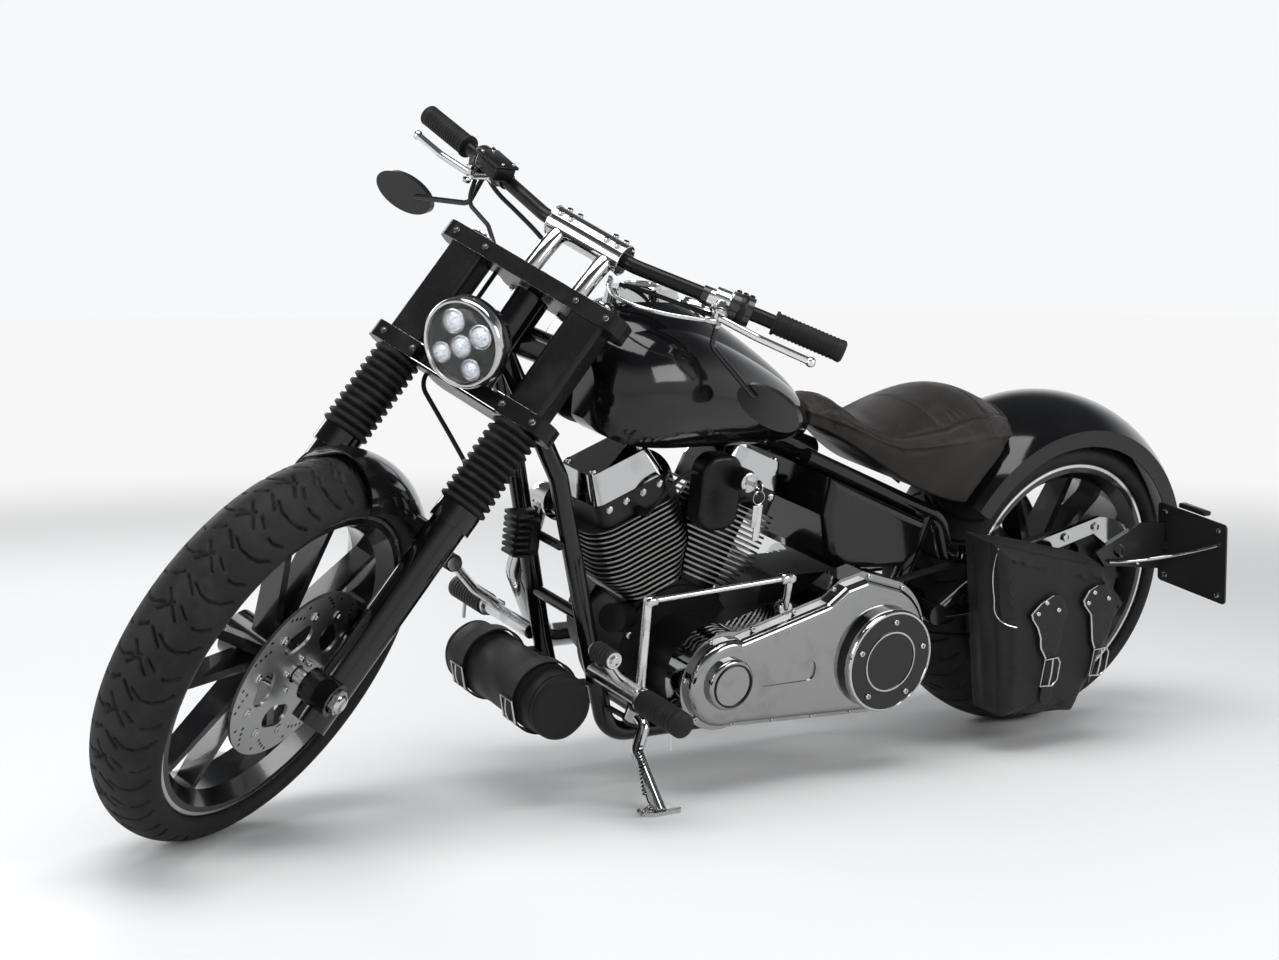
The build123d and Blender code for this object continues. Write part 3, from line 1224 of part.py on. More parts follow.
# Sub-parts by moving body
BODIES = {
    "body": [
        (frame_spine, "frame_spine"),
        (frame_cradle, "frame_cradle"),
        (swingarm, "swingarm"),
        (rear_axle, "rear_axle"),
        (crankcase, "crankcase"),
        (cylinders, "cylinders"),
        (rocker_covers, "rocker_covers"),
        (key_switch, "key_switch"),
        (primary_cover, "primary_cover"),
        (clutch_cover, "clutch_cover"),
        (air_cleaner, "air_cleaner"),
        (exhaust, "exhaust"),
        (oil_tank, "oil_tank"),
        (fuel_tank, "fuel_tank"),
        (tank_console, "tank_console"),
        (seat, "seat"),
        (rear_fender, "rear_fender"),
        (fender_struts, "fender_struts"),
        (saddlebag, "saddlebag"),
        (number_plate, "number_plate"),
        (tool_roll, "tool_roll"),
        (regulator, "regulator"),
        (foot_controls, "foot_controls"),
        (drive_belt, "drive_belt"),
        (rear_caliper, "rear_caliper"),
    ],
    "steering": [
        (fork_clamps, "fork_clamps"),
        (fork_tubes, "fork_tubes"),
        (fork_covers, "fork_covers"),
        (fork_gaiters, "fork_gaiters"),
        (fork_sliders, "fork_sliders"),
        (front_axle, "front_axle"),
        (front_fender, "front_fender"),
        (front_caliper, "front_caliper"),
        (headlamp, "headlamp"),
        (headlamp_lens, "headlamp_lens"),
        (handlebar, "handlebar"),
        (bar_risers, "bar_risers"),
        (grips, "grips"),
        (bar_controls, "bar_controls"),
        (mirrors, "mirrors"),
        (brake_hose, "brake_hose"),
    ],
    "front_wheel": [
        (front_tyre, "front_tyre"),
        (front_rim, "front_rim"),
        (front_disc, "front_disc"),
    ],
    "rear_wheel": [
        (rear_tyre, "rear_tyre"),
        (rear_rim, "rear_rim"),
        (rear_pulley, "rear_pulley"),
        (rear_disc, "rear_disc"),
    ],
    "side_stand": [(side_stand, "side_stand")],
}

placed = {}
for body, pieces in BODIES.items():
    place = parked * steered if body in ("steering", "front_wheel") else parked
    for piece, name in pieces:
        placed[name] = place * piece.part

whole = placed["frame_spine"].bounding_box()
for shape in placed.values():
    whole = whole.add(shape.bounding_box())
centre = Location((-whole.center().X, -whole.center().Y, 0))

os.makedirs("parts", exist_ok=True)
for name, shape in placed.items():
    piece = centre * shape
    piece.label = name
    export_step(piece, f"parts/{name}.step")

print("pitch", round(pitch, 4), "rise", round(rise, 3))
print("box", whole.size)
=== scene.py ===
import json
from math import atan2, cos, hypot, pi, radians, sin

import bpy
from mathutils import Matrix, Vector
import numpy as np


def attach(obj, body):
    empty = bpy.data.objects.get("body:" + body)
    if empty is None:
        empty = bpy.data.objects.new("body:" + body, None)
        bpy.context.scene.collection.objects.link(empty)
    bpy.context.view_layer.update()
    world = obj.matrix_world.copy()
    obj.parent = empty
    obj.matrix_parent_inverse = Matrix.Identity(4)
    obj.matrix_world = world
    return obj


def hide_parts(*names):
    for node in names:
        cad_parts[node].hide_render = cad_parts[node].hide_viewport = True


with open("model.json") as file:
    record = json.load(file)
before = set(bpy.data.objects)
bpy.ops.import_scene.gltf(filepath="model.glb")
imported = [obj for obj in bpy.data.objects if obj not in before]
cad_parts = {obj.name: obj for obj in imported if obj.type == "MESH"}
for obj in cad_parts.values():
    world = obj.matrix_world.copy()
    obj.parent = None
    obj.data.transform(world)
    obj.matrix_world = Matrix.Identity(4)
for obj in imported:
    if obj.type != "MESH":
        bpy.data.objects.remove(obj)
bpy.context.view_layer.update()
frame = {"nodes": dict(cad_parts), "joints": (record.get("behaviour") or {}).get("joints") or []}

# Parked stance: the machine leans on its stand with the steering on its left stop.
# Pieces are shaped on the upright machine with straight steering, x forward from the rear axle,
# y to the left, z up from the ground, and are then leaned, and steered, into place.
LEAN, NOSE_UP = radians(-10.48), radians(0.4305)
RAKE, STEERED = radians(35), radians(33.77)
REAR_AXLE = Vector((0, 0, 0.325))
FRONT_AXLE = Vector((1.71, 0, 0.345))
STEERING_FOOT = Vector((1.857, 0, 0))
STEERING_UP = Vector((-sin(RAKE), 0, cos(RAKE)))
joints = {joint["name"]: joint for joint in frame["joints"]}
lean_over = Matrix.Rotation(LEAN, 4, "X") @ Matrix.Rotation(NOSE_UP, 4, "Y")
shift = Vector(joints["rear_wheel_spin"]["pos_m"]) - lean_over @ REAR_AXLE
upright = Matrix.Translation(shift) @ lean_over
turned = (
    Matrix.Translation(STEERING_FOOT) @ Matrix.Rotation(STEERED, 4, STEERING_UP)
    @ Matrix.Translation(-STEERING_FOOT)
)
STANCE = {
    "body": upright, "rear_wheel": upright, "side_stand": upright,
    "steering": upright @ turned, "front_wheel": upright @ turned,
}

# Camera: a long lens at knee height in front of the machine's left side, where the photograph
# was taken from, as fitted to the wheels' rims and axles.
LENS_MM, SENSOR_MM = 59.43, 36.0
TURN, DIP, ROLL = -2.16499064, -0.0956253, 0.0035447
EYE = Vector((3.064921, 3.188809, 0.907142))
sight = Vector((cos(DIP) * cos(TURN), cos(DIP) * sin(TURN), sin(DIP)))
right = Vector((sin(TURN), -cos(TURN), 0))
above = right.cross(sight)
right, above = right * cos(ROLL) + above * sin(ROLL), above * cos(ROLL) - right * sin(ROLL)
camera_data = bpy.data.cameras.new("camera")
camera_data.sensor_width = SENSOR_MM
camera_data.lens = LENS_MM
camera = bpy.data.objects.new("camera", camera_data)
bpy.context.scene.collection.objects.link(camera)
camera.matrix_world = (
    Matrix.Translation(EYE + Vector((shift.x, shift.y, 0)))
    @ Matrix((right, above, -sight)).transposed().to_4x4()
)
bpy.context.scene.camera = camera
bpy.context.scene.view_settings.view_transform = "Standard"


# Studio: a plain pale floor that fades into a pale surround, and soft panels of light.
# Its finishes, like all the later ones, are written as sums on the sockets of a material.
class Wire:
    """A socket of a material's node tree, with Python's operators as Math nodes."""

    def __init__(self, tree, socket=None):
        self.tree = tree
        self.socket = socket

    def make(self, kind, settings=(), inputs=(), output=0):
        """Adds a node, its settings first and its inputs after, and gives one of its outputs."""
        node = self.tree.nodes.new(kind)
        for key, value in dict(settings).items():
            setattr(node, key, value)
        for key, value in dict(inputs).items():
            if isinstance(value, Wire):
                self.tree.links.new(value.socket, node.inputs[key])
            else:
                node.inputs[key].default_value = value
        return Wire(self.tree, node.outputs[output])

    def math(self, operation, first, second=0.0):
        return self.make("ShaderNodeMath", {"operation": operation}, {0: first, 1: second})

    def __add__(self, other):
        return self.math("ADD", self, other)

    __radd__ = __add__

    def __mul__(self, other):
        return self.math("MULTIPLY", self, other)

    __rmul__ = __mul__

    def __sub__(self, other):
        return self.math("SUBTRACT", self, other)

    def __rsub__(self, other):
        return self.math("SUBTRACT", other, self)

    def __gt__(self, other):
        return self.math("GREATER_THAN", self, other)

    def __lt__(self, other):
        return self.math("LESS_THAN", self, other)

    def clamp(self):
        return self.make("ShaderNodeClamp", {}, {"Value": self})

    def smooth(self, low, high):
        """0 below low, 1 above high."""
        return self.make(
            "ShaderNodeMapRange", {"interpolation_type": "SMOOTHSTEP"},
            {"Value": self, "From Min": low, "From Max": high},
        )

    def vector(self, operation, first, second=(0, 0, 0), output=0):
        return self.make(
            "ShaderNodeVectorMath", {"operation": operation}, {0: first, 1: second}, output
        )

    def between(self, first, second):
        """A colour from first to second by this value."""
        return self.make(
            "ShaderNodeMix", {"data_type": "RGBA"}, {0: self, 6: first, 7: second}, 2
        )


def grey(shade):
    return (shade, shade, shade, 1)


class Finish(Wire):
    """A new material: its place, grain and Principled shader."""

    def __init__(self, name):
        self.material = bpy.data.materials.new(name)
        self.material.use_nodes = True
        super().__init__(self.material.node_tree)
        self.shader = self.tree.nodes["Principled BSDF"]
        self.place = self.make("ShaderNodeTexCoord", output=3)
        self.normal = self.make("ShaderNodeNewGeometry", output=1)

    def noise(self, scale, detail=2.0, rough=0.5):
        return self.make(
            "ShaderNodeTexNoise", {},
            {"Vector": self.place, "Scale": scale, "Detail": detail, "Roughness": rough},
        )

    def cells(self, scale, feature="F1"):
        return self.make(
            "ShaderNodeTexVoronoi", {"feature": feature}, {"Vector": self.place, "Scale": scale}
        )

    def radius(self, centre, axis):
        """Distance from an axle."""
        arm = self.vector("SUBTRACT", self.place, tuple(centre))
        return self.vector("LENGTH", self.vector("CROSS_PRODUCT", arm, tuple(axis)), output=1)

    def upright(self, body="body"):
        """Place on the upright machine with straight steering: forward, left and up."""
        back = STANCE[body].inverted()
        return [
            self.vector("DOT_PRODUCT", self.place, tuple(back[row][:3]), 1) + back[row][3]
            for row in range(3)
        ]

    def bump(self, height, depth, strength=1.0):
        return self.make(
            "ShaderNodeBump", {}, {"Height": height, "Distance": depth, "Strength": strength}
        )

    def coat(self, **sockets):
        """Sets the shader's sockets, by name with underscores for spaces."""
        for key, value in sockets.items():
            target = self.shader.inputs[key.replace("_", " ")]
            if isinstance(value, Wire):
                self.tree.links.new(value.socket, target)
            else:
                target.default_value = value
        return self.material


bpy.ops.object.select_all(action="DESELECT")
bpy.ops.mesh.primitive_plane_add(size=80, location=(0, 0, 0))
floor = bpy.context.object
floor.name = "floor"
floor_finish = Finish("floor")
floor_finish.coat(Base_Color=grey(0.72), Roughness=0.6, Specular_IOR_Level=0.2)
haze = floor_finish.make("ShaderNodeEmission", {}, {"Color": grey(0.93), "Strength": 1.0})
far = floor_finish.vector("LENGTH", floor_finish.place, output=1).smooth(2.2, 6.5)
paint = Wire(floor_finish.tree, floor_finish.shader.outputs[0])
blend = floor_finish.make("ShaderNodeMixShader", {}, {0: far, 1: paint, 2: haze})
output = floor_finish.tree.nodes["Material Output"]
floor_finish.tree.links.new(blend.socket, output.inputs["Surface"])
floor.data.materials.append(floor_finish.material)
world = bpy.data.worlds.new("surround")
bpy.context.scene.world = world
world.use_nodes = True
sky = Wire(world.node_tree)
seen = (
    sky.make("ShaderNodeLightPath", output="Is Camera Ray")
    + sky.make("ShaderNodeLightPath", output="Is Glossy Ray")
    + sky.make("ShaderNodeLightPath", output="Is Transmission Ray")
).clamp()
way = sky.make("ShaderNodeTexCoord", output="Generated")
height = sky.make("ShaderNodeSeparateXYZ", {}, {0: way}, 2)
overhead = height.smooth(0.22, 0.62)
shade = overhead.between((0.95, 0.965, 0.98, 1), (0.10, 0.105, 0.115, 1))
backdrop = world.node_tree.nodes["Background"]
world.node_tree.links.new((0.42 + seen * 0.56).socket, backdrop.inputs["Strength"])
world.node_tree.links.new(seen.between((0.93, 0.96, 1.0, 1), shade).socket, backdrop.inputs["Color"])
for name, spot, aim, width, depth, power in (
    ("panel_high", (0.6, 0.6, 3.6), (0, 0, 0.4), 3.4, 2.0, 105),
    ("panel_left", (-1.6, 3.6, 2.0), (0.0, 0, 0.5), 2.4, 1.6, 70),
    ("panel_front", (4.2, 0.4, 1.6), (0.6, 0, 0.5), 1.4, 2.0, 55),
    ("panel_right", (0.2, -3.8, 2.2), (0, 0, 0.5), 3.0, 1.2, 60),
):
    lamp = bpy.data.lights.new(name, "AREA")
    lamp.shape = "RECTANGLE"
    lamp.size, lamp.size_y, lamp.energy = width, depth, power
    holder = bpy.data.objects.new(name, lamp)
    holder.location = spot
    holder.rotation_euler = (Vector(aim) - Vector(spot)).to_track_quat("-Z", "Y").to_euler()
    bpy.context.scene.collection.objects.link(holder)


# Frame, tank and fenders: welded tube and pressed steel, sprayed deep gloss black and polished.
# Faint dust and polishing swirls lie on the lacquer.
FINISHES = {}


def coat_nodes(finish, *names):
    """Gives CAD nodes a finish, as their only material."""
    for name in names:
        node = frame["nodes"][name]
        node.data.materials.clear()
        node.data.materials.append(finish)


def gloss_black():
    f = Finish("gloss_black_paint")
    dust = f.noise(9, 4).smooth(0.45, 0.75)
    fine = f.noise(900, 2)
    return f.coat(
        Base_Color=(dust * 0.35).between((0.0035, 0.0035, 0.004, 1), (0.013, 0.0125, 0.0125, 1)),
        Roughness=0.08 + dust * 0.05 + fine * 0.03, Coat_Weight=0.3, Coat_Roughness=0.04,
        Specular_IOR_Level=0.28,
        Normal=f.bump(f.noise(260, 2), 0.00006),
    )


FINISHES["gloss_black"] = gloss_black()
coat_nodes(
    FINISHES["gloss_black"], "frame_spine", "frame_cradle", "swingarm", "fuel_tank", "oil_tank",
    "rear_fender", "front_fender", "fork_sliders", "headlamp", "clutch_cover", "air_cleaner",
)


# Clamps, calipers, bar and cases: cast aluminium and bent tube under baked satin black powder,
# rougher on the crankcase.
def satin_black(name="satin_black_paint", rough=0.27, grain=1100):
    f = Finish(name)
    worn = f.noise(14, 5).smooth(0.5, 0.8)
    return f.coat(
        Base_Color=(worn * 0.5).between((0.0055, 0.0055, 0.006, 1), (0.018, 0.0175, 0.017, 1)),
        Roughness=rough + worn * 0.12, Specular_IOR_Level=0.22,
        Normal=f.bump(f.noise(grain, 2), 0.00012),
    )


FINISHES["satin_black"] = satin_black()
coat_nodes(
    FINISHES["satin_black"], "fork_clamps", "fork_covers", "front_caliper", "rear_caliper", "handlebar",
    "rear_pulley", "regulator", "key_switch",
)
coat_nodes(satin_black("engine_black", 0.4, 500), "crankcase")


# Chromed parts: polished steel with a blue-white plate, a little smudged. The primary cover's chrome
# is painted darker, a painted reflection of the ground that it mirrors.
def chrome(name="chrome_plate", shade=0.52):
    f = Finish(name)
    smudge = f.noise(22, 4).smooth(0.5, 0.75)
    specks = f.cells(420).smooth(0.0, 0.16)
    return f.coat(
        Base_Color=smudge.between(grey(shade), grey(shade * 0.82)),
        Metallic=1.0, Roughness=0.05 + smudge * 0.1 + (1 - specks) * 0.08,
        Normal=f.bump(f.noise(75, 2), 0.00008),
    )


FINISHES["chrome"] = chrome()
coat_nodes(
    FINISHES["chrome"], "rear_axle", "rocker_covers", "exhaust", "tank_console", "fender_struts",
    "fork_tubes", "bar_risers", "side_stand",
)
# The primary cover's darker chrome is a painted reflection of the ground.
coat_nodes(chrome("chrome_dark_painted_reflection", 0.30), "primary_cover")


# Foot controls and front axle: forged aluminium levers and brackets and a steel axle, polished
# to a soft haze.
def aluminium():
    f = Finish("polished_aluminium")
    haze = f.noise(40, 4).smooth(0.4, 0.7)
    return f.coat(
        Base_Color=haze.between((0.62, 0.62, 0.62, 1), (0.5, 0.5, 0.5, 1)), Metallic=1.0,
        Roughness=0.2 + haze * 0.14, Normal=f.bump(f.noise(600, 2), 0.00006),
    )


FINISHES["silver"] = aluminium()
coat_nodes(FINISHES["silver"], "foot_controls", "front_axle")


# Cylinders: two barrels at 22.5 degrees to either side of upright, fins and all painted black, and
# the fins' edges machined bright below the heads.
CRANK = Vector((0.905, 0, 0.255))
CYLINDER_LEAN = 22.5
BARREL_R, FIN_FOOT, FIN_TOP = 0.0665, 0.132, 0.2915


def fin_black():
    f = Finish("finned_black")
    x, y, z = f.upright()
    up = z - CRANK.z
    back = upright.to_3x3().inverted()
    front = (x > CRANK.x) * 2.0 - 1.0
    reach = f.math("ABSOLUTE", x - CRANK.x)
    lean = radians(CYLINDER_LEAN)
    height = reach * sin(lean) + up * cos(lean)
    along = reach * cos(lean) - up * sin(lean)
    away = f.math("SQRT", along * along + y * y)
    ahead = f.vector("DOT_PRODUCT", f.normal, tuple(back[0]), 1) * front
    upward = f.vector("DOT_PRODUCT", f.normal, tuple(back[2]), 1)
    flat = f.math("ABSOLUTE", ahead * sin(lean) + upward * cos(lean))
    bright = (flat < 0.2) * (away > BARREL_R) * (height < FIN_TOP) * (height > FIN_FOOT)
    return f.coat(
        Base_Color=bright.between((0.007, 0.007, 0.0075, 1), (0.26, 0.252, 0.245, 1)),
        Metallic=bright, Roughness=0.42 - bright * 0.08, Specular_IOR_Level=0.3,
        Normal=f.bump(f.noise(700, 3), 0.0002),
    )


coat_nodes(fin_black(), "cylinders")


# Number plate: a bare pale pressed sheet, screwed to a black steel holder. The side that faces
# rearwards is the pale one.
def plate_finish():
    f = Finish("plate")
    rear = (upright.to_3x3() @ Vector((-1, 0, 0))).normalized()
    face = f.vector("DOT_PRODUCT", f.normal, tuple(rear), 1) > 0.9
    return f.coat(
        Base_Color=face.between(grey(0.012), (0.78, 0.78, 0.75, 1)), Roughness=0.32 + face * 0.1,
        Normal=f.bump(f.noise(500, 2), 0.00005),
    )


coat_nodes(plate_finish(), "number_plate")


# Belt, hose, gaiters and grips: moulded black rubber, dusty in patches. The gaiters close
# over the fork's tubes, and the grips are pushed onto the bar.
def rubber(name="black_rubber", shade=0.016, rough=0.6):
    f = Finish(name)
    dusty = f.noise(30, 5).smooth(0.45, 0.75)
    return f.coat(
        Base_Color=dusty.between(grey(shade), grey(shade * 2.4)), Roughness=rough + dusty * 0.15,
        Specular_IOR_Level=0.2, Normal=f.bump(f.noise(1500, 2), 0.0002),
    )


FINISHES["black_rubber"] = rubber("black_rubber", 0.008, 0.55)
coat_nodes(FINISHES["black_rubber"], "drive_belt", "fork_gaiters", "grips", "brake_hose")


# Rims: cast in one piece with their split spokes and painted gloss black, with a fine bright line
# turned in each flange.
def cast_rim(name, joint, line_in, line_out):
    f = Finish(name)
    spin = joints[joint]
    out = f.radius(spin["pos_m"], spin["axis"])
    flat = f.vector("DOT_PRODUCT", f.normal, tuple(spin["axis"]), 1)
    line = (out > line_in) * (out < line_out) * (f.math("ABSOLUTE", flat) > 0.7)
    dust = f.noise(20, 4).smooth(0.45, 0.8)
    return f.coat(
        Base_Color=line.between(
            dust.between((0.005, 0.005, 0.0055, 1), (0.017, 0.0165, 0.016, 1)), (0.8, 0.8, 0.8, 1)
        ),
        Metallic=line, Roughness=0.16 + dust * 0.12 + line * 0.05, Coat_Weight=0.4 - line * 0.4,
        Normal=f.bump(f.noise(300, 2), 0.00008),
    )


coat_nodes(cast_rim("front_rim_black", "front_wheel_spin", 0.2712, 0.2768), "front_rim")
coat_nodes(cast_rim("rear_rim_black", "rear_wheel_spin", 0.2352, 0.2408), "rear_rim")


# Tyres: rubber on both wheels, worn smooth on the crown, with crossed cuts along the middle and
# long curved side grooves. A flat grid is bent round the wheel and its grooves are pressed in.
FINISHES["tyre_rubber"] = rubber("tyre_rubber", 0.0085, 0.6)
coat_nodes(FINISHES["tyre_rubber"], "front_tyre", "rear_tyre")


GROOVE_WIDTH, GROOVE_DEPTH = 0.0030, 0.0042


def clear():
    if bpy.context.object and bpy.context.object.mode != "OBJECT":
        bpy.ops.object.mode_set(mode="OBJECT")
    bpy.ops.object.select_all(action="DESELECT")


def pick(*pieces):
    """Selects these pieces alone."""
    clear()
    for piece in pieces:
        piece.select_set(True)
    bpy.context.view_layer.objects.active = pieces[0]


def place(pieces, name, body, finish, smooth=38, merge=0.00002):
    """Joins and closes finished pieces, names them, stands them in the parked stance and lets
    them move with their body."""
    pieces = pieces if isinstance(pieces, list) else [pieces]
    pick(*pieces)
    if len(pieces) > 1:
        bpy.ops.object.join()
    piece = bpy.context.object
    bpy.ops.object.mode_set(mode="EDIT")
    bpy.ops.mesh.select_all(action="SELECT")
    bpy.ops.mesh.remove_doubles(threshold=merge)
    bpy.ops.mesh.normals_make_consistent(inside=False)
    bpy.ops.object.mode_set(mode="OBJECT")
    bpy.ops.object.shade_smooth_by_angle(angle=radians(smooth))
    piece.data.transform(STANCE[body] @ piece.matrix_world)
    piece.matrix_world = Matrix.Identity(4)
    piece.name = piece.data.name = name
    piece.data.materials.clear()
    piece.data.materials.append(FINISHES[finish])
    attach(piece, body)
    return piece


def arc_through(first, middle, last, count):
    """Points along the arc through three points."""
    (ax, ay), (bx, by), (cx, cy) = first, middle, last
    a2, b2, c2 = ax**2 + ay**2, bx**2 + by**2, cx**2 + cy**2
    d = 2 * (ax * (by - cy) + bx * (cy - ay) + cx * (ay - by))
    ux = (a2 * (by - cy) + b2 * (cy - ay) + c2 * (ay - by)) / d
    uy = (a2 * (cx - bx) + b2 * (ax - cx) + c2 * (bx - ax)) / d
    radius = hypot(ax - ux, ay - uy)
    start = atan2(ay - uy, ax - ux)
    half_way = atan2(by - uy, bx - ux)
    end = atan2(cy - uy, cx - ux)
    sweep = (end - start) % (2 * pi)
    if (half_way - start) % (2 * pi) > sweep:
        sweep -= 2 * pi
    return [
        (ux + radius * cos(start + sweep * i / count), uy + radius * sin(start + sweep * i / count))
        for i in range(count + 1)
    ]


def stroke_depth(along, across, strokes, pitch, width, depth):
    """How deep the grooves lie under each point of the tread, from strokes repeated every pitch."""
    deepest = np.zeros_like(along)
    for points in strokes:
        for (s0, a0), (s1, a1) in zip(points, points[1:]):
            for lap in (-1, 0, 1):
                b0, b1 = a0 + lap * pitch, a1 + lap * pitch
                ds, da = s1 - s0, b1 - b0
                t = np.clip(((across - s0) * ds + (along - b0) * da) / (ds**2 + da**2), 0, 1)
                gap = np.hypot(across - s0 - t * ds, along - b0 - t * da)
                cut = np.clip((width - gap) / (width * 0.55), 0, 1)
                deepest = np.maximum(deepest, depth * cut * cut * (3 - 2 * cut))
    return deepest


def make_tyre(name, body, node, axle, radius, width, crown, rim_r, rim_w, pitches, steps, across_count):
    """Bends a grid round the wheel: bead, side wall, crown with its pressed grooves, and inner wall."""
    half = width / 2
    shoulder = (half * 0.96, radius - crown + (crown**2 - (half * 0.96) ** 2) ** 0.5)
    side_wall = (half, (shoulder[1] + rim_r) / 2)
    lip = (rim_w / 2 + 0.003, rim_r + 0.002)
    bead = (rim_w / 2 - 0.0063, rim_r + 0.002)
    foot = (rim_w / 2 - 0.0063, rim_r - 0.011)
    inner = [(rim_w / 2 - 0.015, rim_r - 0.011), (rim_w / 2 - 0.012, rim_r + 0.007),
             (half - 0.0125, side_wall[1]), (shoulder[0] - 0.009, shoulder[1] - 0.004)]
    over = arc_through(shoulder, (0, radius), (-shoulder[0], shoulder[1]), across_count)
    wall = arc_through(lip, side_wall, shoulder, 7)
    left = [foot, bead] + wall[:-1]
    right = [(-y, r) for y, r in reversed(left)]
    inside = [(-y, r) for y, r in inner] + [(0, radius - 0.009)] + list(reversed(inner))
    section = left + over + right + inside
    pitch = 2 * pi * radius / pitches
    around = pitches * steps
    clear()
    bpy.ops.mesh.primitive_grid_add(x_subdivisions=around, y_subdivisions=len(section), size=2)
    tyre = bpy.context.object
    rows = len(section) + 1
    columns = around + 1
    loop = np.array(section + section[:1])
    reach = np.zeros(rows)
    middle = len(left) + across_count // 2
    lengths = np.hypot(*np.diff(loop, axis=0).T)
    reach[1:] = np.cumsum(lengths)
    reach -= reach[middle]
    tread = np.zeros(rows, bool)
    tread[len(left) - 1:len(left) + across_count + 2] = True
    turn = np.linspace(0, 2 * pi, columns)
    place_in_lap = (turn * radius) % pitch
    edge = crown * np.arcsin(shoulder[0] / crown)
    side_strokes = [
        [(0.16, 0.30), (0.34, 0.20), (0.58, 0.18), (0.80, 0.27), (0.95, 0.43)],
        [(0.60, 0.66), (0.76, 0.68), (0.93, 0.80)],
        [(0.20, 0.86), (0.40, 0.74)],
    ]
    strokes = [[(s * edge, a * pitch) for s, a in line] for line in side_strokes]
    strokes += [[(-s * edge, (a + 0.5) * pitch) for s, a in line] for line in side_strokes]
    strokes += [
        [(-0.26 * edge, 0.10 * pitch), (0.24 * edge, 0.52 * pitch)],
        [(0.22 * edge, 0.12 * pitch), (-0.04 * edge, 0.36 * pitch)],
        [(-0.24 * edge, 0.62 * pitch), (0.06 * edge, 0.84 * pitch)],
    ]
    angle, loop_row = np.meshgrid(turn, np.arange(rows))
    lap, lane = np.meshgrid(place_in_lap, reach)
    sunk = stroke_depth(lap, lane, strokes, pitch, GROOVE_WIDTH, GROOVE_DEPTH)
    sunk[~tread] = 0
    y = loop[:, 0][loop_row]
    r = loop[:, 1][loop_row]
    tilt = np.arcsin(np.clip(y / crown, -1, 1))
    y = y - np.where(tread[loop_row], sunk * np.sin(tilt), 0)
    r = r - np.where(tread[loop_row], sunk * np.cos(tilt), 0)
    spot = np.stack([axle[0] + r * np.cos(angle), y, axle[2] + r * np.sin(angle)], -1)
    tyre.data.vertices.foreach_set("co", spot.reshape(-1).astype(np.float32))
    tyre.data.update()
    place(tyre, name, body, "tyre_rubber", smooth=50, merge=0.00001)
    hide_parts(node)


make_tyre("front_tread", "front_wheel", "front_tyre", FRONT_AXLE, radius=0.345, width=0.130,
          crown=0.070, rim_r=0.279, rim_w=0.100, pitches=24, steps=40, across_count=58)
make_tyre("rear_tread", "rear_wheel", "rear_tyre", REAR_AXLE, radius=0.325, width=0.240,
          crown=0.150, rim_r=0.243, rim_w=0.216, pitches=22, steps=34, across_count=78)


# Headlamp: chrome ring on a black bucket, five lens cells with a painted bright reflection, in chrome cups
# under a clear cover.
# Each is turned like lathe work: a circle drawn out ring by ring.
def lathe(rings, centre, axis=(0, 1, 0), sides=64, closed=False):
    """Draws a circle out along an axis through rings of (radius, distance), as a lathe turns it."""
    clear()
    bpy.ops.mesh.primitive_circle_add(vertices=sides, radius=rings[0][0])
    piece = bpy.context.object
    bpy.ops.object.mode_set(mode="EDIT")
    bpy.ops.mesh.select_all(action="SELECT")
    bpy.ops.transform.translate(value=(0, 0, rings[0][1]))
    for (r0, h0), (r1, h1) in zip(rings, rings[1:]):
        bpy.ops.mesh.extrude_region_move(TRANSFORM_OT_translate={"value": (0, 0, h1 - h0)})
        bpy.ops.transform.resize(value=(r1 / r0, r1 / r0, 1), center_override=(0, 0, h1))
    if not closed:
        bpy.ops.mesh.select_all(action="SELECT")
        bpy.ops.mesh.fill_holes(sides=0)
    bpy.ops.object.mode_set(mode="OBJECT")
    turn = Vector(axis).to_track_quat("Z", "Y").to_matrix().to_4x4()
    piece.matrix_world = Matrix.Translation(Vector(centre)) @ turn
    return piece


def lens_glass():
    f = Finish("lamp_glass")
    return f.coat(
        Base_Color=(0.95, 0.97, 1, 1), Roughness=0.02 + f.noise(60, 2) * 0.02,
        Transmission_Weight=1.0, IOR=1.45, Alpha=0.35,
    )


def lamp_cell_finish():
    f = Finish("lamp_cells")
    # The cells' bluish white, lighter and darker facet by facet, is a painted reflection; the facets' bump
    # is their own.
    facets_and_painted_glints = f.cells(260).smooth(0.1, 0.6)
    return f.coat(
        Base_Color=facets_and_painted_glints.between((0.50, 0.58, 0.66, 1), (0.92, 0.96, 1.0, 1)),
        Roughness=0.06 + facets_and_painted_glints * 0.12, Metallic=0.25, Coat_Weight=1.0,
        Normal=f.bump(facets_and_painted_glints, 0.0012),
    )


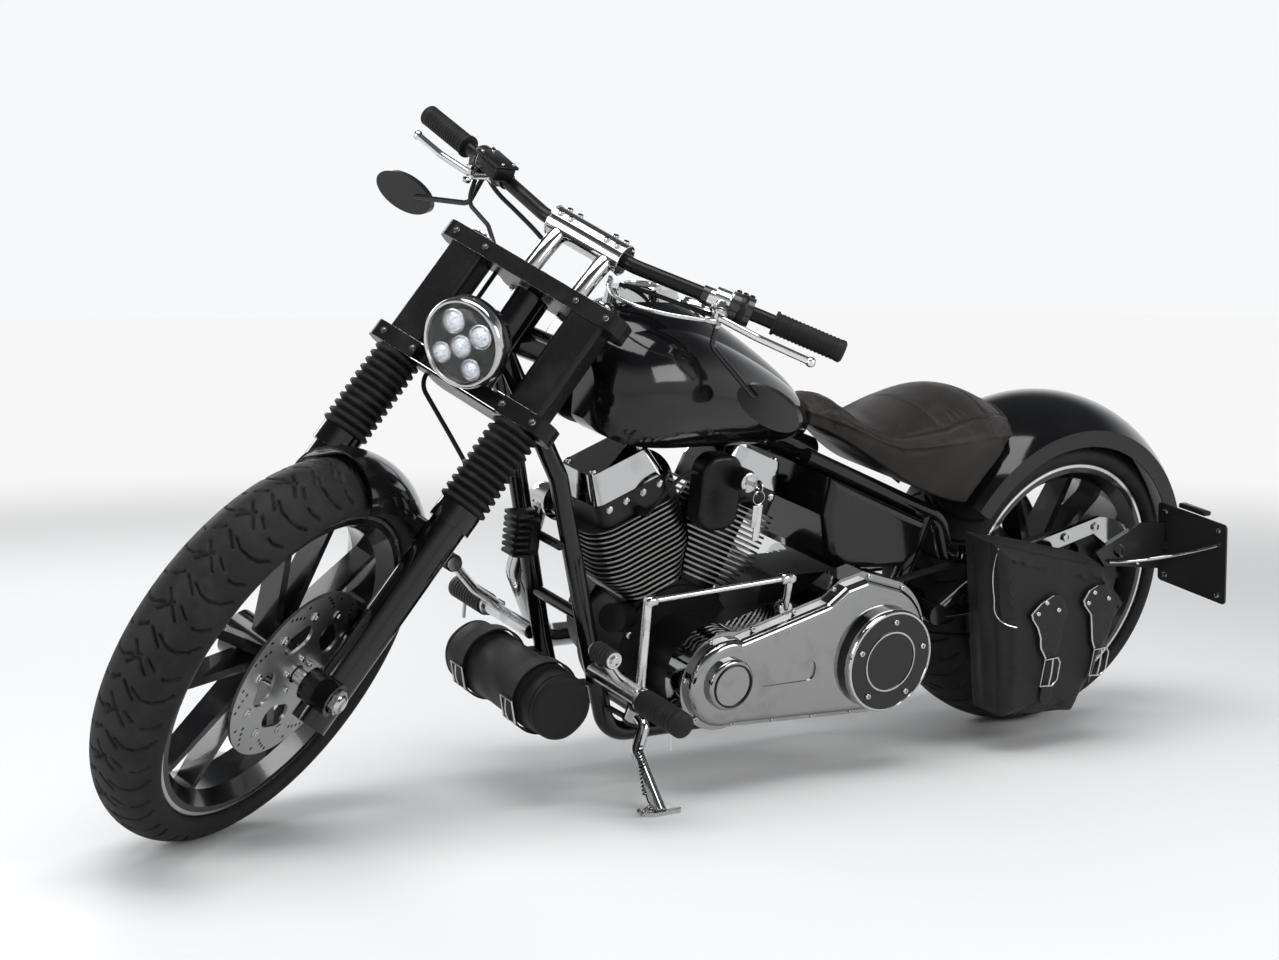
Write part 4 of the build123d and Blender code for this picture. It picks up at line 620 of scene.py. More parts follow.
FINISHES["lamp_glass"] = lens_glass()
FINISHES["lamp_cells"] = lamp_cell_finish()
FINISHES["lamp_backing"] = satin_black("lamp_backing", 0.22, 900)
coat_nodes(FINISHES["lamp_glass"], "headlamp_lens")
LAMP = Vector((1.411, 0, 0.846))
AHEAD = (1, 0, 0)
lamp_ring = lathe(
    [(0.0655, -0.004), (0.0655, 0.002), (0.0675, 0.0050), (0.0705, 0.0055), (0.0735, 0.0035),
     (0.0750, -0.001), (0.0750, -0.016), (0.0738, -0.020), (0.0728, -0.016), (0.0728, -0.004),
     (0.0655, -0.004)],
    LAMP, AHEAD, closed=True,
)
place(lamp_ring, "headlamp_ring", "steering", "chrome")
cells, cups = [], []
for y, z, size in ((-0.027, 0.026, 1), (0.027, 0.026, 1), (0, -0.006, 0.92),
                   (-0.030, -0.033, 0.86), (0.030, -0.033, 0.86)):
    spot = LAMP + Vector((-0.0055, y, z))
    cells.append(lathe(
        [(0.0165 * size, 0.0), (0.0160 * size, 0.0035), (0.0120 * size, 0.0062),
         (0.0060 * size, 0.0075), (0.0010, 0.0079)], spot, AHEAD, 32))
    cups.append(lathe(
        [(0.0172 * size, 0.0), (0.0176 * size, 0.0040), (0.0192 * size, 0.0058),
         (0.0208 * size, 0.0050), (0.0212 * size, 0.0)], spot, AHEAD, 32, closed=True))
place(cells, "headlamp_cells", "steering", "lamp_cells")
place(cups, "headlamp_cups", "steering", "chrome")
backing = lathe([(0.0010, 0.0), (0.040, 0.0), (0.0653, 0.0010), (0.0653, -0.0008)],
                LAMP + Vector((-0.0058, 0, 0)), AHEAD, 64)
place(backing, "headlamp_backing", "steering", "lamp_backing")
cover = lathe([(0.0652, 0.0), (0.0600, 0.0042), (0.0480, 0.0074), (0.0300, 0.0094), (0.0100, 0.0103),
               (0.0010, 0.0105)], LAMP + Vector((0.0005, 0, 0)), AHEAD, 64)
place(cover, "headlamp_cover", "steering", "lamp_glass")
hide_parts("headlamp_lens")


# Seat: brown-black leather over foam, its top panel sewn in with a welt and crossed by two seams.
# The cushion's shape swells by cloth simulation, then the stitching is pulled in and puckers.
def leather(name, base, worn_shade, rough=0.42):
    f = Finish(name)
    pores = f.cells(900, "DISTANCE_TO_EDGE").smooth(0.0, 0.12)
    creases = f.noise(60, 6, 0.65)
    worn = f.noise(12, 5).smooth(0.45, 0.75)
    return f.coat(
        Base_Color=(worn * 0.6 + (1 - pores) * 0.2).between((*base, 1), (*worn_shade, 1)),
        Roughness=rough + worn * 0.18 + (1 - pores) * 0.1, Specular_IOR_Level=0.25,
        Normal=f.bump(pores * 0.6 + creases, 0.0007, 0.55),
    )


def remeshed(node, name, voxel):
    """A fine, even mesh of a soft solid, as a new object."""
    piece = bpy.data.objects.new(name, frame["nodes"][node].data.copy())
    bpy.context.scene.collection.objects.link(piece)
    piece.data.materials.clear()
    pick(piece)
    piece.data.remesh_voxel_size = voxel
    bpy.ops.object.voxel_remesh()
    return piece


def spots(piece):
    """A piece's points and normals on the upright machine."""
    count = len(piece.data.vertices)
    points = np.empty(count * 3, np.float32)
    normals = np.empty(count * 3, np.float32)
    piece.data.vertices.foreach_get("co", points)
    piece.data.vertex_normals.foreach_get("vector", normals)
    back = np.array(upright.inverted())
    points = points.reshape(-1, 3) @ back[:3, :3].T + back[:3, 3]
    return points, normals.reshape(-1, 3) @ back[:3, :3].T


def put_back(piece, points):
    """Moves a piece's points to where they are now on the upright machine."""
    there = np.array(upright)
    moved = points @ there[:3, :3].T + there[:3, 3]
    piece.data.vertices.foreach_set("co", moved.reshape(-1).astype(np.float32))
    piece.data.update()


def swell(piece, share, cap, pressure=4.0):
    """Blows a closed cushion up by cloth simulation and keeps a share of it, at most cap, per point."""
    before, _ = spots(piece)
    pick(piece)
    bpy.ops.object.modifier_add(type="CLOTH")
    cloth = piece.modifiers[-1]
    cloth.settings.use_pressure = True
    cloth.settings.uniform_pressure_force = pressure
    cloth.settings.effector_weights.gravity = 0
    cloth.settings.quality = 4
    cloth.collision_settings.use_collision = False
    for step in range(1, 21):
        bpy.context.scene.frame_set(step)
    bpy.ops.object.modifier_apply(modifier=cloth.name)
    bpy.context.scene.frame_set(1)
    after, _ = spots(piece)
    move = (after - before) * share[:, None]
    length = np.linalg.norm(move, axis=1)
    move *= (np.minimum(length, cap) / np.maximum(length, 1e-9))[:, None]
    put_back(piece, before + move)


def finer(piece):
    pick(piece)
    bpy.ops.object.modifier_add(type="SUBSURF")
    rounding = piece.modifiers[-1]
    rounding.levels = rounding.render_levels = 1
    bpy.ops.object.modifier_apply(modifier=rounding.name)


def soft_step(values, low, high):
    t = np.clip((values - low) / (high - low), 0, 1)
    return t * t * (3 - 2 * t)


def groove(gap, width):
    """1 on a seam, falling off to 0 at its width."""
    t = np.clip(1 - np.abs(gap) / width, 0, 1)
    return t * t * (3 - 2 * t)


def dress(piece, finish, node):
    """Covers a padded piece, which stands for its CAD node."""
    pick(piece)
    bpy.ops.object.shade_smooth_by_angle(angle=radians(60))
    piece.data.materials.clear()
    piece.data.materials.append(FINISHES[finish])
    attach(piece, "body")
    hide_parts(node)


SEAT_HIDE = (0.014, 0.0108, 0.0095), (0.036, 0.028, 0.024)
FINISHES["seat_leather"] = leather("seat_leather", *SEAT_HIDE, 0.30)
coat_nodes(FINISHES["seat_leather"], "seat")
SEAT_ROWS = np.array([
    (0.170, 0.108, 0.640), (0.280, 0.150, 0.650), (0.375, 0.150, 0.640), (0.470, 0.126, 0.630),
    (0.560, 0.086, 0.664), (0.640, 0.046, 0.690),
])
seat = remeshed("seat", "seat_cushion", 0.005)
points, _ = spots(seat)
rim = np.interp(points[:, 0], SEAT_ROWS[:, 0], SEAT_ROWS[:, 2])
swell(seat, soft_step(points[:, 2] - rim, -0.05, 0.01), 0.007)
finer(seat)
points, normals = spots(seat)
half = np.interp(points[:, 0], SEAT_ROWS[:, 0], SEAT_ROWS[:, 1])
rim = np.interp(points[:, 0], SEAT_ROWS[:, 0], SEAT_ROWS[:, 2])
top = soft_step(normals[:, 2], 0.25, 0.5) * soft_step(points[:, 2] - rim, -0.012, 0.004)
inset = half - 0.030 - np.abs(points[:, 1])
inset = np.minimum(inset, np.minimum(points[:, 0] - 0.205, 0.615 - points[:, 0]))
panel = soft_step(inset, 0.0, 0.004)
turn = np.arctan2(points[:, 1], points[:, 0] - 0.36)
pulled = panel * (1 - soft_step(inset, 0.008, 0.050))
puckers = (0.5 + 0.5 * np.sin(turn * 34 + np.sin(turn * 7) * 2.4)) ** 3 * pulled
seams = np.maximum(*(groove(points[:, 0] - x, 0.0040) for x in (0.385, 0.270))) * panel
sunk = 0.0022 * seams + 0.0015 * puckers + 0.0030 * groove(inset, 0.0045)
welt = groove(inset + 0.008, 0.005) * 0.0022
skirt = groove(points[:, 2] - rim + 0.004, 0.005) * 0.0020 * (1 - top)
points -= normals * ((sunk - welt) * top)[:, None]
points += normals * skirt[:, None]
put_back(seat, points)
dress(seat, "seat_leather", "seat")


# Side bag: black leather box that sags a little, under a flap that covers most of its outer face.
# Two shaped straps with bright edge wire, three rivets and a roller buckle each hold the flap.
BLACK_HIDE = (0.006, 0.0056, 0.0052), (0.022, 0.019, 0.017)
FLAP_HIDE = (0.005, 0.0048, 0.0046), (0.016, 0.014, 0.013)
FINISHES["black_leather"] = leather("black_leather", *BLACK_HIDE)
FINISHES["flap_leather"] = leather("flap_leather", *FLAP_HIDE, 0.26)
coat_nodes(FINISHES["black_leather"], "saddlebag", "tool_roll")
bag = remeshed("saddlebag", "bag_shell", 0.005)
points, _ = spots(bag)
inner = soft_step(points[:, 1], 0.20, 0.235)
swell(bag, inner, 0.008, 3.0)
finer(bag)
points, normals = spots(bag)
belly = soft_step(points[:, 1], 0.235, 0.265)
crease = np.sin(points[:, 0] * 34 + np.sin(points[:, 2] * 21) * 1.6)
crease *= np.sin(points[:, 2] * 17 + 0.7)
points += normals * (belly * crease * 0.0012)[:, None]
points -= normals * (groove(points[:, 1] - 0.262, 0.004) * 0.0016)[:, None]
put_back(bag, points)
dress(bag, "black_leather", "saddlebag")


def cut_sheet(name, outline, height, thick, bevel=0.0, divide=0, toward=None, cling=0.0):
    """Cuts a flat sheet on the machine's side, outline in x and z, and can press it onto a piece."""
    clear()
    bpy.ops.mesh.primitive_circle_add(vertices=len(outline), radius=1, fill_type="NGON")
    sheet = bpy.context.object
    for vertex, (x, z) in zip(sheet.data.vertices, outline):
        vertex.co = (x, height, z)
    bpy.ops.object.mode_set(mode="EDIT")
    bpy.ops.mesh.select_all(action="SELECT")
    if divide:
        bpy.ops.mesh.quads_convert_to_tris()
        for _ in range(divide):
            bpy.ops.mesh.subdivide(number_cuts=1)
            bpy.ops.mesh.beautify_fill()
    bpy.ops.object.mode_set(mode="OBJECT")
    if toward:
        sheet.data.transform(upright)
        bpy.ops.object.modifier_add(type="SHRINKWRAP")
        wrap = sheet.modifiers[-1]
        wrap.target = toward
        wrap.wrap_method = "NEAREST_SURFACEPOINT"
        wrap.offset = cling
        bpy.ops.object.modifier_apply(modifier=wrap.name)
        sheet.data.transform(upright.inverted())
    bpy.ops.object.modifier_add(type="SOLIDIFY")
    wall = sheet.modifiers[-1]
    wall.thickness, wall.offset = thick, 0.0
    bpy.ops.object.modifier_apply(modifier=wall.name)
    if bevel:
        bpy.ops.object.modifier_add(type="BEVEL")
        edge = sheet.modifiers[-1]
        edge.width, edge.segments, edge.limit_method = bevel, 2, "ANGLE"
        edge.angle_limit = radians(50)
        bpy.ops.object.modifier_apply(modifier=edge.name)
    sheet.name = name
    return sheet


def wire(name, points, radius, sides=10, smooth=True, closed=False):
    """A round wire, rod or hose along points, drawn as a curve and made a mesh."""
    curve = bpy.data.curves.new(name, "CURVE")
    curve.dimensions = "3D"
    curve.bevel_depth = radius
    curve.bevel_resolution = max(1, sides // 4)
    curve.use_fill_caps = True
    curve.resolution_u = 8 if smooth else 1
    line = curve.splines.new("BEZIER" if smooth else "POLY")
    line.use_cyclic_u = closed
    knots = line.bezier_points if smooth else line.points
    knots.add(len(points) - 1)
    for knot, spot in zip(knots, points):
        if smooth:
            knot.co = spot
            knot.handle_left_type = knot.handle_right_type = "AUTO"
        else:
            knot.co = (*spot, 1)
    piece = bpy.data.objects.new(name, curve)
    bpy.context.scene.collection.objects.link(piece)
    pick(piece)
    bpy.ops.object.convert(target="MESH")
    return bpy.context.object


def bag_face(x, z):
    """How far out the swollen bag reaches at a place on its side."""
    inwards = upright.to_3x3() @ Vector((0, -1, 0))
    found, spot, _, _ = bag.ray_cast(upright @ Vector((x, 0.36, z)), inwards)
    return (upright.inverted() @ spot).y if found else 0.278


BAG_FACE = 0.2785
flap = cut_sheet(
    "bag_flap",
    [(0.366, 0.479), (0.345, 0.409), (0.333, 0.369), (0.320, 0.331), (0.308, 0.319), (0.285, 0.313),
     (0.235, 0.306), (0.190, 0.300), (0.130, 0.301), (0.070, 0.310), (0.020, 0.322), (-0.006, 0.334),
     (0.028, 0.377), (0.058, 0.414), (0.140, 0.432), (0.210, 0.447), (0.290, 0.463)],
    BAG_FACE + 0.006, 0.0036, 0.0011, divide=4, toward=bag, cling=0.0034,
)
place(flap, "bag_flap", "body", "flap_leather", smooth=50)
rivet = [(0.0050, -0.002), (0.0050, 0.0012), (0.0038, 0.0028), (0.0010, 0.0034)]
edge_wires, rivets, buckles, straps, tails = [], [], [], [], []
for left, right, nails, frame_spot, tail in (
    ([(0.205, 0.372), (0.235, 0.357), (0.255, 0.338), (0.250, 0.327), (0.234, 0.310), (0.222, 0.289),
      (0.218, 0.268), (0.200, 0.243)],
     [(0.170, 0.243), (0.168, 0.268), (0.166, 0.300), (0.158, 0.334), (0.172, 0.358), (0.190, 0.372)],
     [(0.220, 0.358), (0.238, 0.338), (0.186, 0.341)], (0.184, 0.216), [(0.196, 0.243), (0.196, 0.160),
      (0.181, 0.138), (0.166, 0.160), (0.168, 0.243)]),
    ([(0.088, 0.381), (0.109, 0.372), (0.121, 0.353), (0.116, 0.343), (0.096, 0.323), (0.088, 0.295),
      (0.080, 0.268), (0.068, 0.247)],
     [(0.036, 0.247), (0.034, 0.272), (0.032, 0.304), (0.026, 0.340), (0.045, 0.366), (0.066, 0.381)],
     [(0.094, 0.367), (0.107, 0.347), (0.054, 0.352)], (0.052, 0.222), [(0.066, 0.247), (0.066, 0.186),
      (0.056, 0.170), (0.040, 0.184), (0.038, 0.247)]),
):
    straps.append(cut_sheet("strap", left + right, BAG_FACE + 0.014, 0.0030, 0.0008, 3, bag, 0.0075))
    tails.append(cut_sheet("tail", tail, BAG_FACE + 0.016, 0.0028, 0.0008, 3, bag, 0.0050))
    edge_wires.append(cut_sheet("edge", [(x + 0.0018, z) for x, z in left] +
                                [(x - 0.0022, z) for x, z in reversed(left)],
                                BAG_FACE + 0.018, 0.0042, 0.0010, 2, bag, 0.0080))
    for x, z in nails:
        rivets.append(lathe(rivet, (x, bag_face(x, z) + 0.0092, z), (0, 1, 0), 14))
    fx, fz = frame_spot
    out = max(bag_face(fx + a, fz + b) for a in (-0.02, 0, 0.02) for b in (-0.025, 0, 0.025))
    loop = [(fx + a, out + 0.0080 + c, fz + b) for a, b, c in (
        (0.021, 0.027, 0.003), (-0.012, 0.029, 0.003), (-0.021, 0.018, 0.002),
        (-0.022, -0.018, 0.0), (-0.012, -0.029, 0.0), (0.021, -0.027, 0.0))]
    tongue = [(fx, out + a, fz + b) for a, b in ((0.0115, 0.028), (0.0128, 0), (0.0100, -0.029))]
    buckles.append(wire("buckle", loop, 0.0021, 8, smooth=False, closed=True))
    buckles.append(wire("tongue", tongue, 0.0016, 8))
place(straps, "bag_straps", "body", "flap_leather", smooth=50)
place(tails, "bag_strap_tails", "body", "flap_leather", smooth=50)
place(edge_wires, "bag_edge_wires", "body", "chrome")
place(rivets, "bag_rivets", "body", "chrome")
place(buckles, "bag_buckles", "body", "chrome")
# A thin chrome wire along the flap's lower edge is a painted highlight on that edge.
flap_highlight_line = [(0.352, 0.472), (0.347, 0.440), (0.341, 0.409), (0.330, 0.369), (0.319, 0.334),
             (0.306, 0.320), (0.285, 0.314)]
flap_edge_highlight = wire("flap_edge_highlight", [(x, bag_face(x, z) + 0.0056, z) for x, z in flap_highlight_line], 0.0013, 8)
place(flap_edge_highlight, "flap_edge_highlight", "body", "chrome")


# Tool roll: a tube of black leather, drawn in where two straps go round it, with stitched end caps.
# Each strap has a bright square buckle in front.
ROLL_X, ROLL_Z = 1.196, 0.216
ROLL_END, LID_SEAM = 0.146, 0.112
roll = remeshed("tool_roll", "roll_shell", 0.0048)
points, _ = spots(roll)
away = np.hypot(points[:, 0] - ROLL_X, points[:, 2] - ROLL_Z)
free = soft_step(0.076 - away, 0.0, 0.004) * soft_step(0.155 - np.abs(points[:, 1]), 0.0, 0.02)
swell(roll, free, 0.006, 3.0)
finer(roll)
points, normals = spots(roll)
away = np.hypot(points[:, 0] - ROLL_X, points[:, 2] - ROLL_Z)
around = np.arctan2(points[:, 2] - ROLL_Z, points[:, 0] - ROLL_X)
skin = soft_step(0.076 - away, 0.0, 0.004) * soft_step(away, 0.045, 0.055)
fold = np.sin(around * 3 + points[:, 1] * 30) * np.sin(points[:, 1] * 44 + around * 2) * 0.0011
seam = groove(np.abs(points[:, 1]) - ROLL_END, 0.0035) * 0.0018
lid = groove(np.abs(points[:, 1]) - LID_SEAM, 0.0030) * 0.0015 * (np.sin(around - 0.6) > -0.7)
points += normals * ((fold - seam - lid) * skin)[:, None]
put_back(roll, points)
dress(roll, "black_leather", "tool_roll")
BUCKLE_TURN = radians(-14)
band = [(0.0652, -0.0140), (0.0668, -0.0130), (0.0668, 0.0130), (0.0652, 0.0140), (0.0640, 0.0130),
        (0.0640, -0.0130), (0.0652, -0.0140)]
belts, clips = [], []
for y in (-0.088, 0.088):
    belts.append(lathe(band, (ROLL_X, y, ROLL_Z), (0, 1, 0), 72, closed=True))
    corners = []
    for across, round_roll in ((-0.019, -0.021), (0.019, -0.021), (0.019, 0.021), (-0.019, 0.021)):
        angle = BUCKLE_TURN + round_roll / 0.069
        corners.append((ROLL_X + 0.0695 * cos(angle), y + across, ROLL_Z + 0.0695 * sin(angle)))
    clips.append(wire("buckle", corners, 0.0024, 8, smooth=False, closed=True))
    pin = [(ROLL_X + 0.0715 * cos(BUCKLE_TURN + a), y, ROLL_Z + 0.0715 * sin(BUCKLE_TURN + a))
           for a in (-0.3, 0.0, 0.3)]
    clips.append(wire("tongue", pin, 0.0017, 8))
place(belts, "roll_straps", "body", "black_leather")
place(clips, "roll_buckles", "body", "chrome")


# Fork: chrome caps and stem nut on the upper clamp, pinch bolts along both clamps' front faces.
# Thin chrome wires along the clamps' edges are painted highlights where their bevels catch the light.
def socket_screw(spot, axis, radius, tall=None):
    """A socket screw's head with its recess."""
    tall = tall or radius * 0.9
    return lathe([(radius, -radius * 0.4), (radius, tall * 0.75), (radius * 0.86, tall),
                  (radius * 0.52, tall), (radius * 0.48, tall * 0.35), (radius * 0.05, tall * 0.3)],
                 spot, axis, 14)


def hexagon_bolt(spot, axis, radius, tall=None):
    """A hexagon bolt's head on its washer."""
    tall = tall or radius * 0.7
    return lathe([(radius * 1.2, -radius * 0.3), (radius * 1.2, tall * 0.25), (radius, tall * 0.25),
                  (radius, tall * 0.85), (radius * 0.8, tall), (radius * 0.05, tall * 1.02)], spot, axis, 6)


FORK_RAKE = radians(37)
FORK_UP = Vector((-sin(FORK_RAKE), 0, cos(FORK_RAKE)))
FORK_AHEAD = Vector((cos(FORK_RAKE), 0, sin(FORK_RAKE)))
CLAMP_HEIGHTS, CLAMP_TOP = (0.540, 0.748), 0.763


def on_fork(ahead, left, up):
    """A place measured along the fork's legs from the front axle."""
    return FRONT_AXLE + FORK_AHEAD * ahead + Vector((0, left, 0)) + FORK_UP * up


tube_cap = [(0.0250, -0.001), (0.0250, 0.0035), (0.0225, 0.0060), (0.0150, 0.0062), (0.0140, 0.0100),
            (0.0120, 0.0108), (0.0010, 0.0108)]
caps = []
for y in (-0.125, 0.125):
    caps.append(lathe(tube_cap, on_fork(-0.028, y, CLAMP_TOP), FORK_UP, 40))
    for v in CLAMP_HEIGHTS:
        for side_step in (-0.034, 0.034):
            caps.append(socket_screw(on_fork(0.0058, y + side_step * 0.9, v), FORK_AHEAD, 0.0062))
reach = (on_fork(0, 0, CLAMP_TOP) - STEERING_FOOT).dot(FORK_UP) / STEERING_UP.dot(FORK_UP)
caps.append(hexagon_bolt(STEERING_FOOT + STEERING_UP * (reach - 0.001), STEERING_UP, 0.0185, 0.012))
place(caps, "clamp_caps_and_bolts", "steering", "chrome")
# Thin chrome wires along both clamps' front edges: painted highlights on their bevels.
edge_highlights = []
for v in CLAMP_HEIGHTS:
    for up in (-0.0146, 0.0146):
        edge = [on_fork(0.0052, y, v + up) for y in (-0.152, 0.152)]
        edge_highlights.append(wire("edge", edge, 0.0007, 8, smooth=False))
place(edge_highlights, "clamp_edge_highlights", "steering", "chrome")


# Bar clamp: a cast chrome clamp, split along its middle, that eight socket screws hold down over
# the bar. Two bolts under the fork's upper clamp hold its curved risers.
BAR_X, BAR_Z = 1.098, 0.980
clamp_ring = [(0.0272, -0.002), (0.0285, -0.001), (0.0285, 0.001), (0.0272, 0.002), (0.0260, 0.001),
              (0.0260, -0.001), (0.0272, -0.002)]
clamp_parts = []
for y in (-0.060, -0.038, 0.038, 0.060):
    for x in (-0.014, 0.014):
        clamp_parts.append(socket_screw((BAR_X + x, y, BAR_Z + 0.0225), (0, 0, 1), 0.0058))
for y in (-0.0745, 0.0745):
    clamp_parts.append(lathe(clamp_ring, (BAR_X, y, BAR_Z), (0, 1, 0), 48, closed=True))
for y in (-0.050, 0.050):
    clamp_parts.append(hexagon_bolt(on_fork(-0.086, y, 0.7335), -FORK_UP, 0.0095))
place(clamp_parts, "bar_clamp_screws", "steering", "chrome")
seams = [wire("seam", [(BAR_X + 0.0271 * sign, y, BAR_Z) for y in (-0.074, 0.074)], 0.0008, 6,
              smooth=False) for sign in (-1, 1)]
place(seams, "bar_clamp_seams", "steering", "satin_black")


# Grips: moulded rubber sleeves on the bar's ends, ribbed along their length, with a raised
# collar on the inside and a domed end.
grips = []
end_run = Vector((-0.044, 0.136, 0)).normalized()
for sign in (-1, 1):
    run = Vector((end_run.x, sign * end_run.y, 0))
    outer = Vector((0.968, sign * 0.446, BAR_Z)) + run * 0.006
    rings = [(0.0182, -0.127), (0.0210, -0.1265), (0.0212, -0.122), (0.0186, -0.1205)]
    for i in range(15):
        at = -0.1135 + i * 0.0070
        rings += [(0.0184, at - 0.0018), (0.0194, at - 0.0012),
                  (0.0194, at + 0.0016), (0.0184, at + 0.0022)]
    rings += [(0.0196, -0.006), (0.0196, -0.001), (0.0150, 0.0026), (0.0060, 0.0034), (0.0010, 0.0035)]
    grips.append(lathe(rings, outer, run, 32))
place(grips, "grip_sleeves", "steering", "black_rubber", smooth=50)


# Bar controls: black cast housings with clamp screws, buttons and bands, silver perches and
# ball-ended levers on pivot screws, and a square brake reservoir with its lid on the right.
def control_finish():
    f = Finish("bar_controls")
    x, y, z = f.upright("steering")
    out = f.math("ABSOLUTE", y)
    ahead = (x - BAR_X) + (out - 0.095) * 0.400
    lever = (ahead > 0.033) * (out > 0.225)
    perch = (out > 0.226) * (out < 0.262) * (z < 1.2)
    silver = (lever + perch).clamp()
    fine = f.noise(800, 2)
    return f.coat(
        Base_Color=silver.between((0.012, 0.012, 0.013, 1), (0.72, 0.72, 0.72, 1)), Metallic=silver,
        Roughness=0.26 - silver * 0.14 + fine * 0.05, Coat_Weight=0.3 - silver * 0.3,
        Normal=f.bump(f.noise(400, 2), 0.00006),
    )


coat_nodes(control_finish(), "bar_controls")
mid_run = Vector((-0.371, 0.928, 0))
switch_band = [(0.0252, -0.001), (0.0266, 0.001), (0.0266, 0.010), (0.0252, 0.012), (0.0240, 0.006),
               (0.0252, -0.001)]
button = [(0.0050, -0.002), (0.0050, 0.0036), (0.0040, 0.0048), (0.0010, 0.0050)]
housing_parts, housing_screws, buttons = [], [], []
for sign in (-1, 1):
    run = Vector((mid_run.x, sign * mid_run.y, 0))
    ahead = Vector((sign * run.y, -sign * run.x, 0))
    foot = Vector((1.0187, sign * 0.2933, BAR_Z))
    perch = Vector((1.0343, sign * 0.2543, BAR_Z))
    housing_parts.append(lathe(switch_band, foot - run * 0.012, -run, 40, closed=True))
    for back in (0.010, 0.030):
        under = foot - run * back + Vector((0, 0, -0.0242))
        housing_screws.append(socket_screw(under, (0, 0, -1), 0.0040))
        housing_screws.append(socket_screw(foot - run * back - ahead * 0.0242, -ahead, 0.0040))
    housing_screws.append(socket_screw(perch - run * 0.006 - ahead * 0.0215, -ahead, 0.0046))
    housing_screws.append(socket_screw(perch - run * 0.020 - ahead * 0.0215, -ahead, 0.0046))
    root = Vector((1.087, sign * 0.268, 0.972))
    housing_screws.append(hexagon_bolt(root + Vector((0, 0, 0.012)), (0, 0, 1), 0.0072))
    housing_screws.append(hexagon_bolt(root + Vector((0, 0, -0.013)), (0, 0, -1), 0.0072))
    tall = Vector((-ahead.x * 0.6, -ahead.y * 0.6, 0.8)).normalized()
    for back in (0.008, 0.020, 0.032):
        buttons.append(lathe(button, foot - run * back + tall * 0.0245, tall, 16))
place(housing_parts, "switch_bands", "steering", "satin_black")
place(housing_screws, "control_screws", "steering", "chrome")
place(buttons, "switch_buttons", "steering", "satin_black")


def block(name, centre, size, turn, bevel):
    """A small housing: a cube at its size, its edges rounded."""
    clear()
    bpy.ops.mesh.primitive_cube_add(size=1, location=centre, rotation=(0, 0, turn), scale=size)
    piece = bpy.context.object
    bpy.ops.object.transform_apply(location=False, rotation=False, scale=True)
    bpy.ops.object.mode_set(mode="EDIT")
    bpy.ops.mesh.select_all(action="SELECT")
    bpy.ops.mesh.bevel(offset=bevel, segments=3)
    bpy.ops.object.mode_set(mode="OBJECT")
    piece.name = name
    return piece


POT_X, POT_Y, POT_TURN = 1.070, -0.232, radians(-22)
reservoir = [block("reservoir", (POT_X, POT_Y, 0.999), (0.044, 0.066, 0.026), POT_TURN, 0.005),
             block("lid", (POT_X, POT_Y, 1.0135), (0.048, 0.070, 0.006), POT_TURN, 0.0022)]
place(reservoir, "brake_reservoir", "steering", "satin_black")
lid_screws = [socket_screw((POT_X + x, POT_Y + y, 1.0165), (0, 0, 1), 0.0030)
              for x, y in ((0.016, 0.022), (-0.006, 0.030), (0.006, -0.030), (-0.016, -0.022))]
place(lid_screws, "reservoir_screws", "steering", "chrome")


# Mirrors: pressed black shells hung below the bar on short stems, each with a dark mirror glass
# let into its rear face.
def mirror_finish():
    f = Finish("mirror_shells")
    rear = (STANCE["steering"].to_3x3() @ Vector((-1, 0, 0))).normalized()
    glass = f.vector("DOT_PRODUCT", f.normal, tuple(rear), 1) > 0.93
    return f.coat(
        Base_Color=glass.between((0.011, 0.011, 0.012, 1), (0.62, 0.66, 0.70, 1)), Metallic=glass,
        Roughness=0.16 - glass * 0.13 + f.noise(500, 2) * 0.03,
        Normal=f.bump(f.noise(300, 2), 0.00004),
    )


coat_nodes(mirror_finish(), "mirrors")


# Cables that the bar carries: a braided steel clutch cable with turned ferrules at its ends, and
# rubber-covered switch wires in a loop over the clamps.
cable = wire("clutch_cable", [(1.100, 0.262, 0.966), (1.128, 0.235, 0.962), (1.152, 0.185, 0.952),
                              (1.150, 0.130, 0.940), (1.128, 0.085, 0.932), (1.098, 0.062, 0.936)],
             0.0040, 12)
place(cable, "clutch_cable", "steering", "silver")
loom_way = [(1.022, 0.272, 0.958), (1.046, 0.225, 0.950), (1.072, 0.165, 0.948), (1.092, 0.110, 0.944),
            (1.098, 0.082, 0.938)]
looms = [wire("loom", [(x, sign * y, z) for x, y, z in loom_way], 0.0042, 10) for sign in (1, -1)]
place(looms, "switch_looms", "steering", "black_rubber")
ferrule = [(0.0058, -0.010), (0.0066, -0.008), (0.0066, 0.006), (0.0050, 0.010), (0.0010, 0.010)]
ferrules = [lathe(ferrule, (1.102, 0.260, 0.966), (0.7, -0.7, 0), 16),
            lathe(ferrule, (1.098, 0.062, 0.936), (-1, -0.6, 0), 16)]
place(ferrules, "cable_ferrules", "steering", "chrome")


# Tank: a chrome gauge ring pressed into the console over a dark dial, the four screws that hold
# the console to the tank, and a turned chrome filler cap behind it.
GAUGE_X, CONSOLE_TOP = 1.012, 0.912
gauge = lathe([(0.0350, -0.004), (0.0350, 0.002), (0.0335, 0.0050), (0.0300, 0.0058), (0.0288, 0.0030),
               (0.0288, 0.0010), (0.0010, 0.0010)], (GAUGE_X, 0, CONSOLE_TOP), (0, 0, 1), 56)
place(gauge, "gauge_bezel", "body", "chrome")
dial = lathe([(0.0286, -0.0005), (0.0286, 0.0022), (0.0180, 0.0034), (0.0010, 0.0036)],
             (GAUGE_X, 0, CONSOLE_TOP + 0.0005), (0, 0, 1), 56)
place(dial, "gauge_glass", "body", "lamp_backing")
console_screws = [socket_screw((x, y, 0.9115), (0, 0, 1), 0.0040)
                  for x in (1.070, 0.952) for y in (0.018, -0.018)]
place(console_screws, "console_screws", "body", "chrome")
cap_up = Vector((-0.28, 0, 0.96)).normalized()
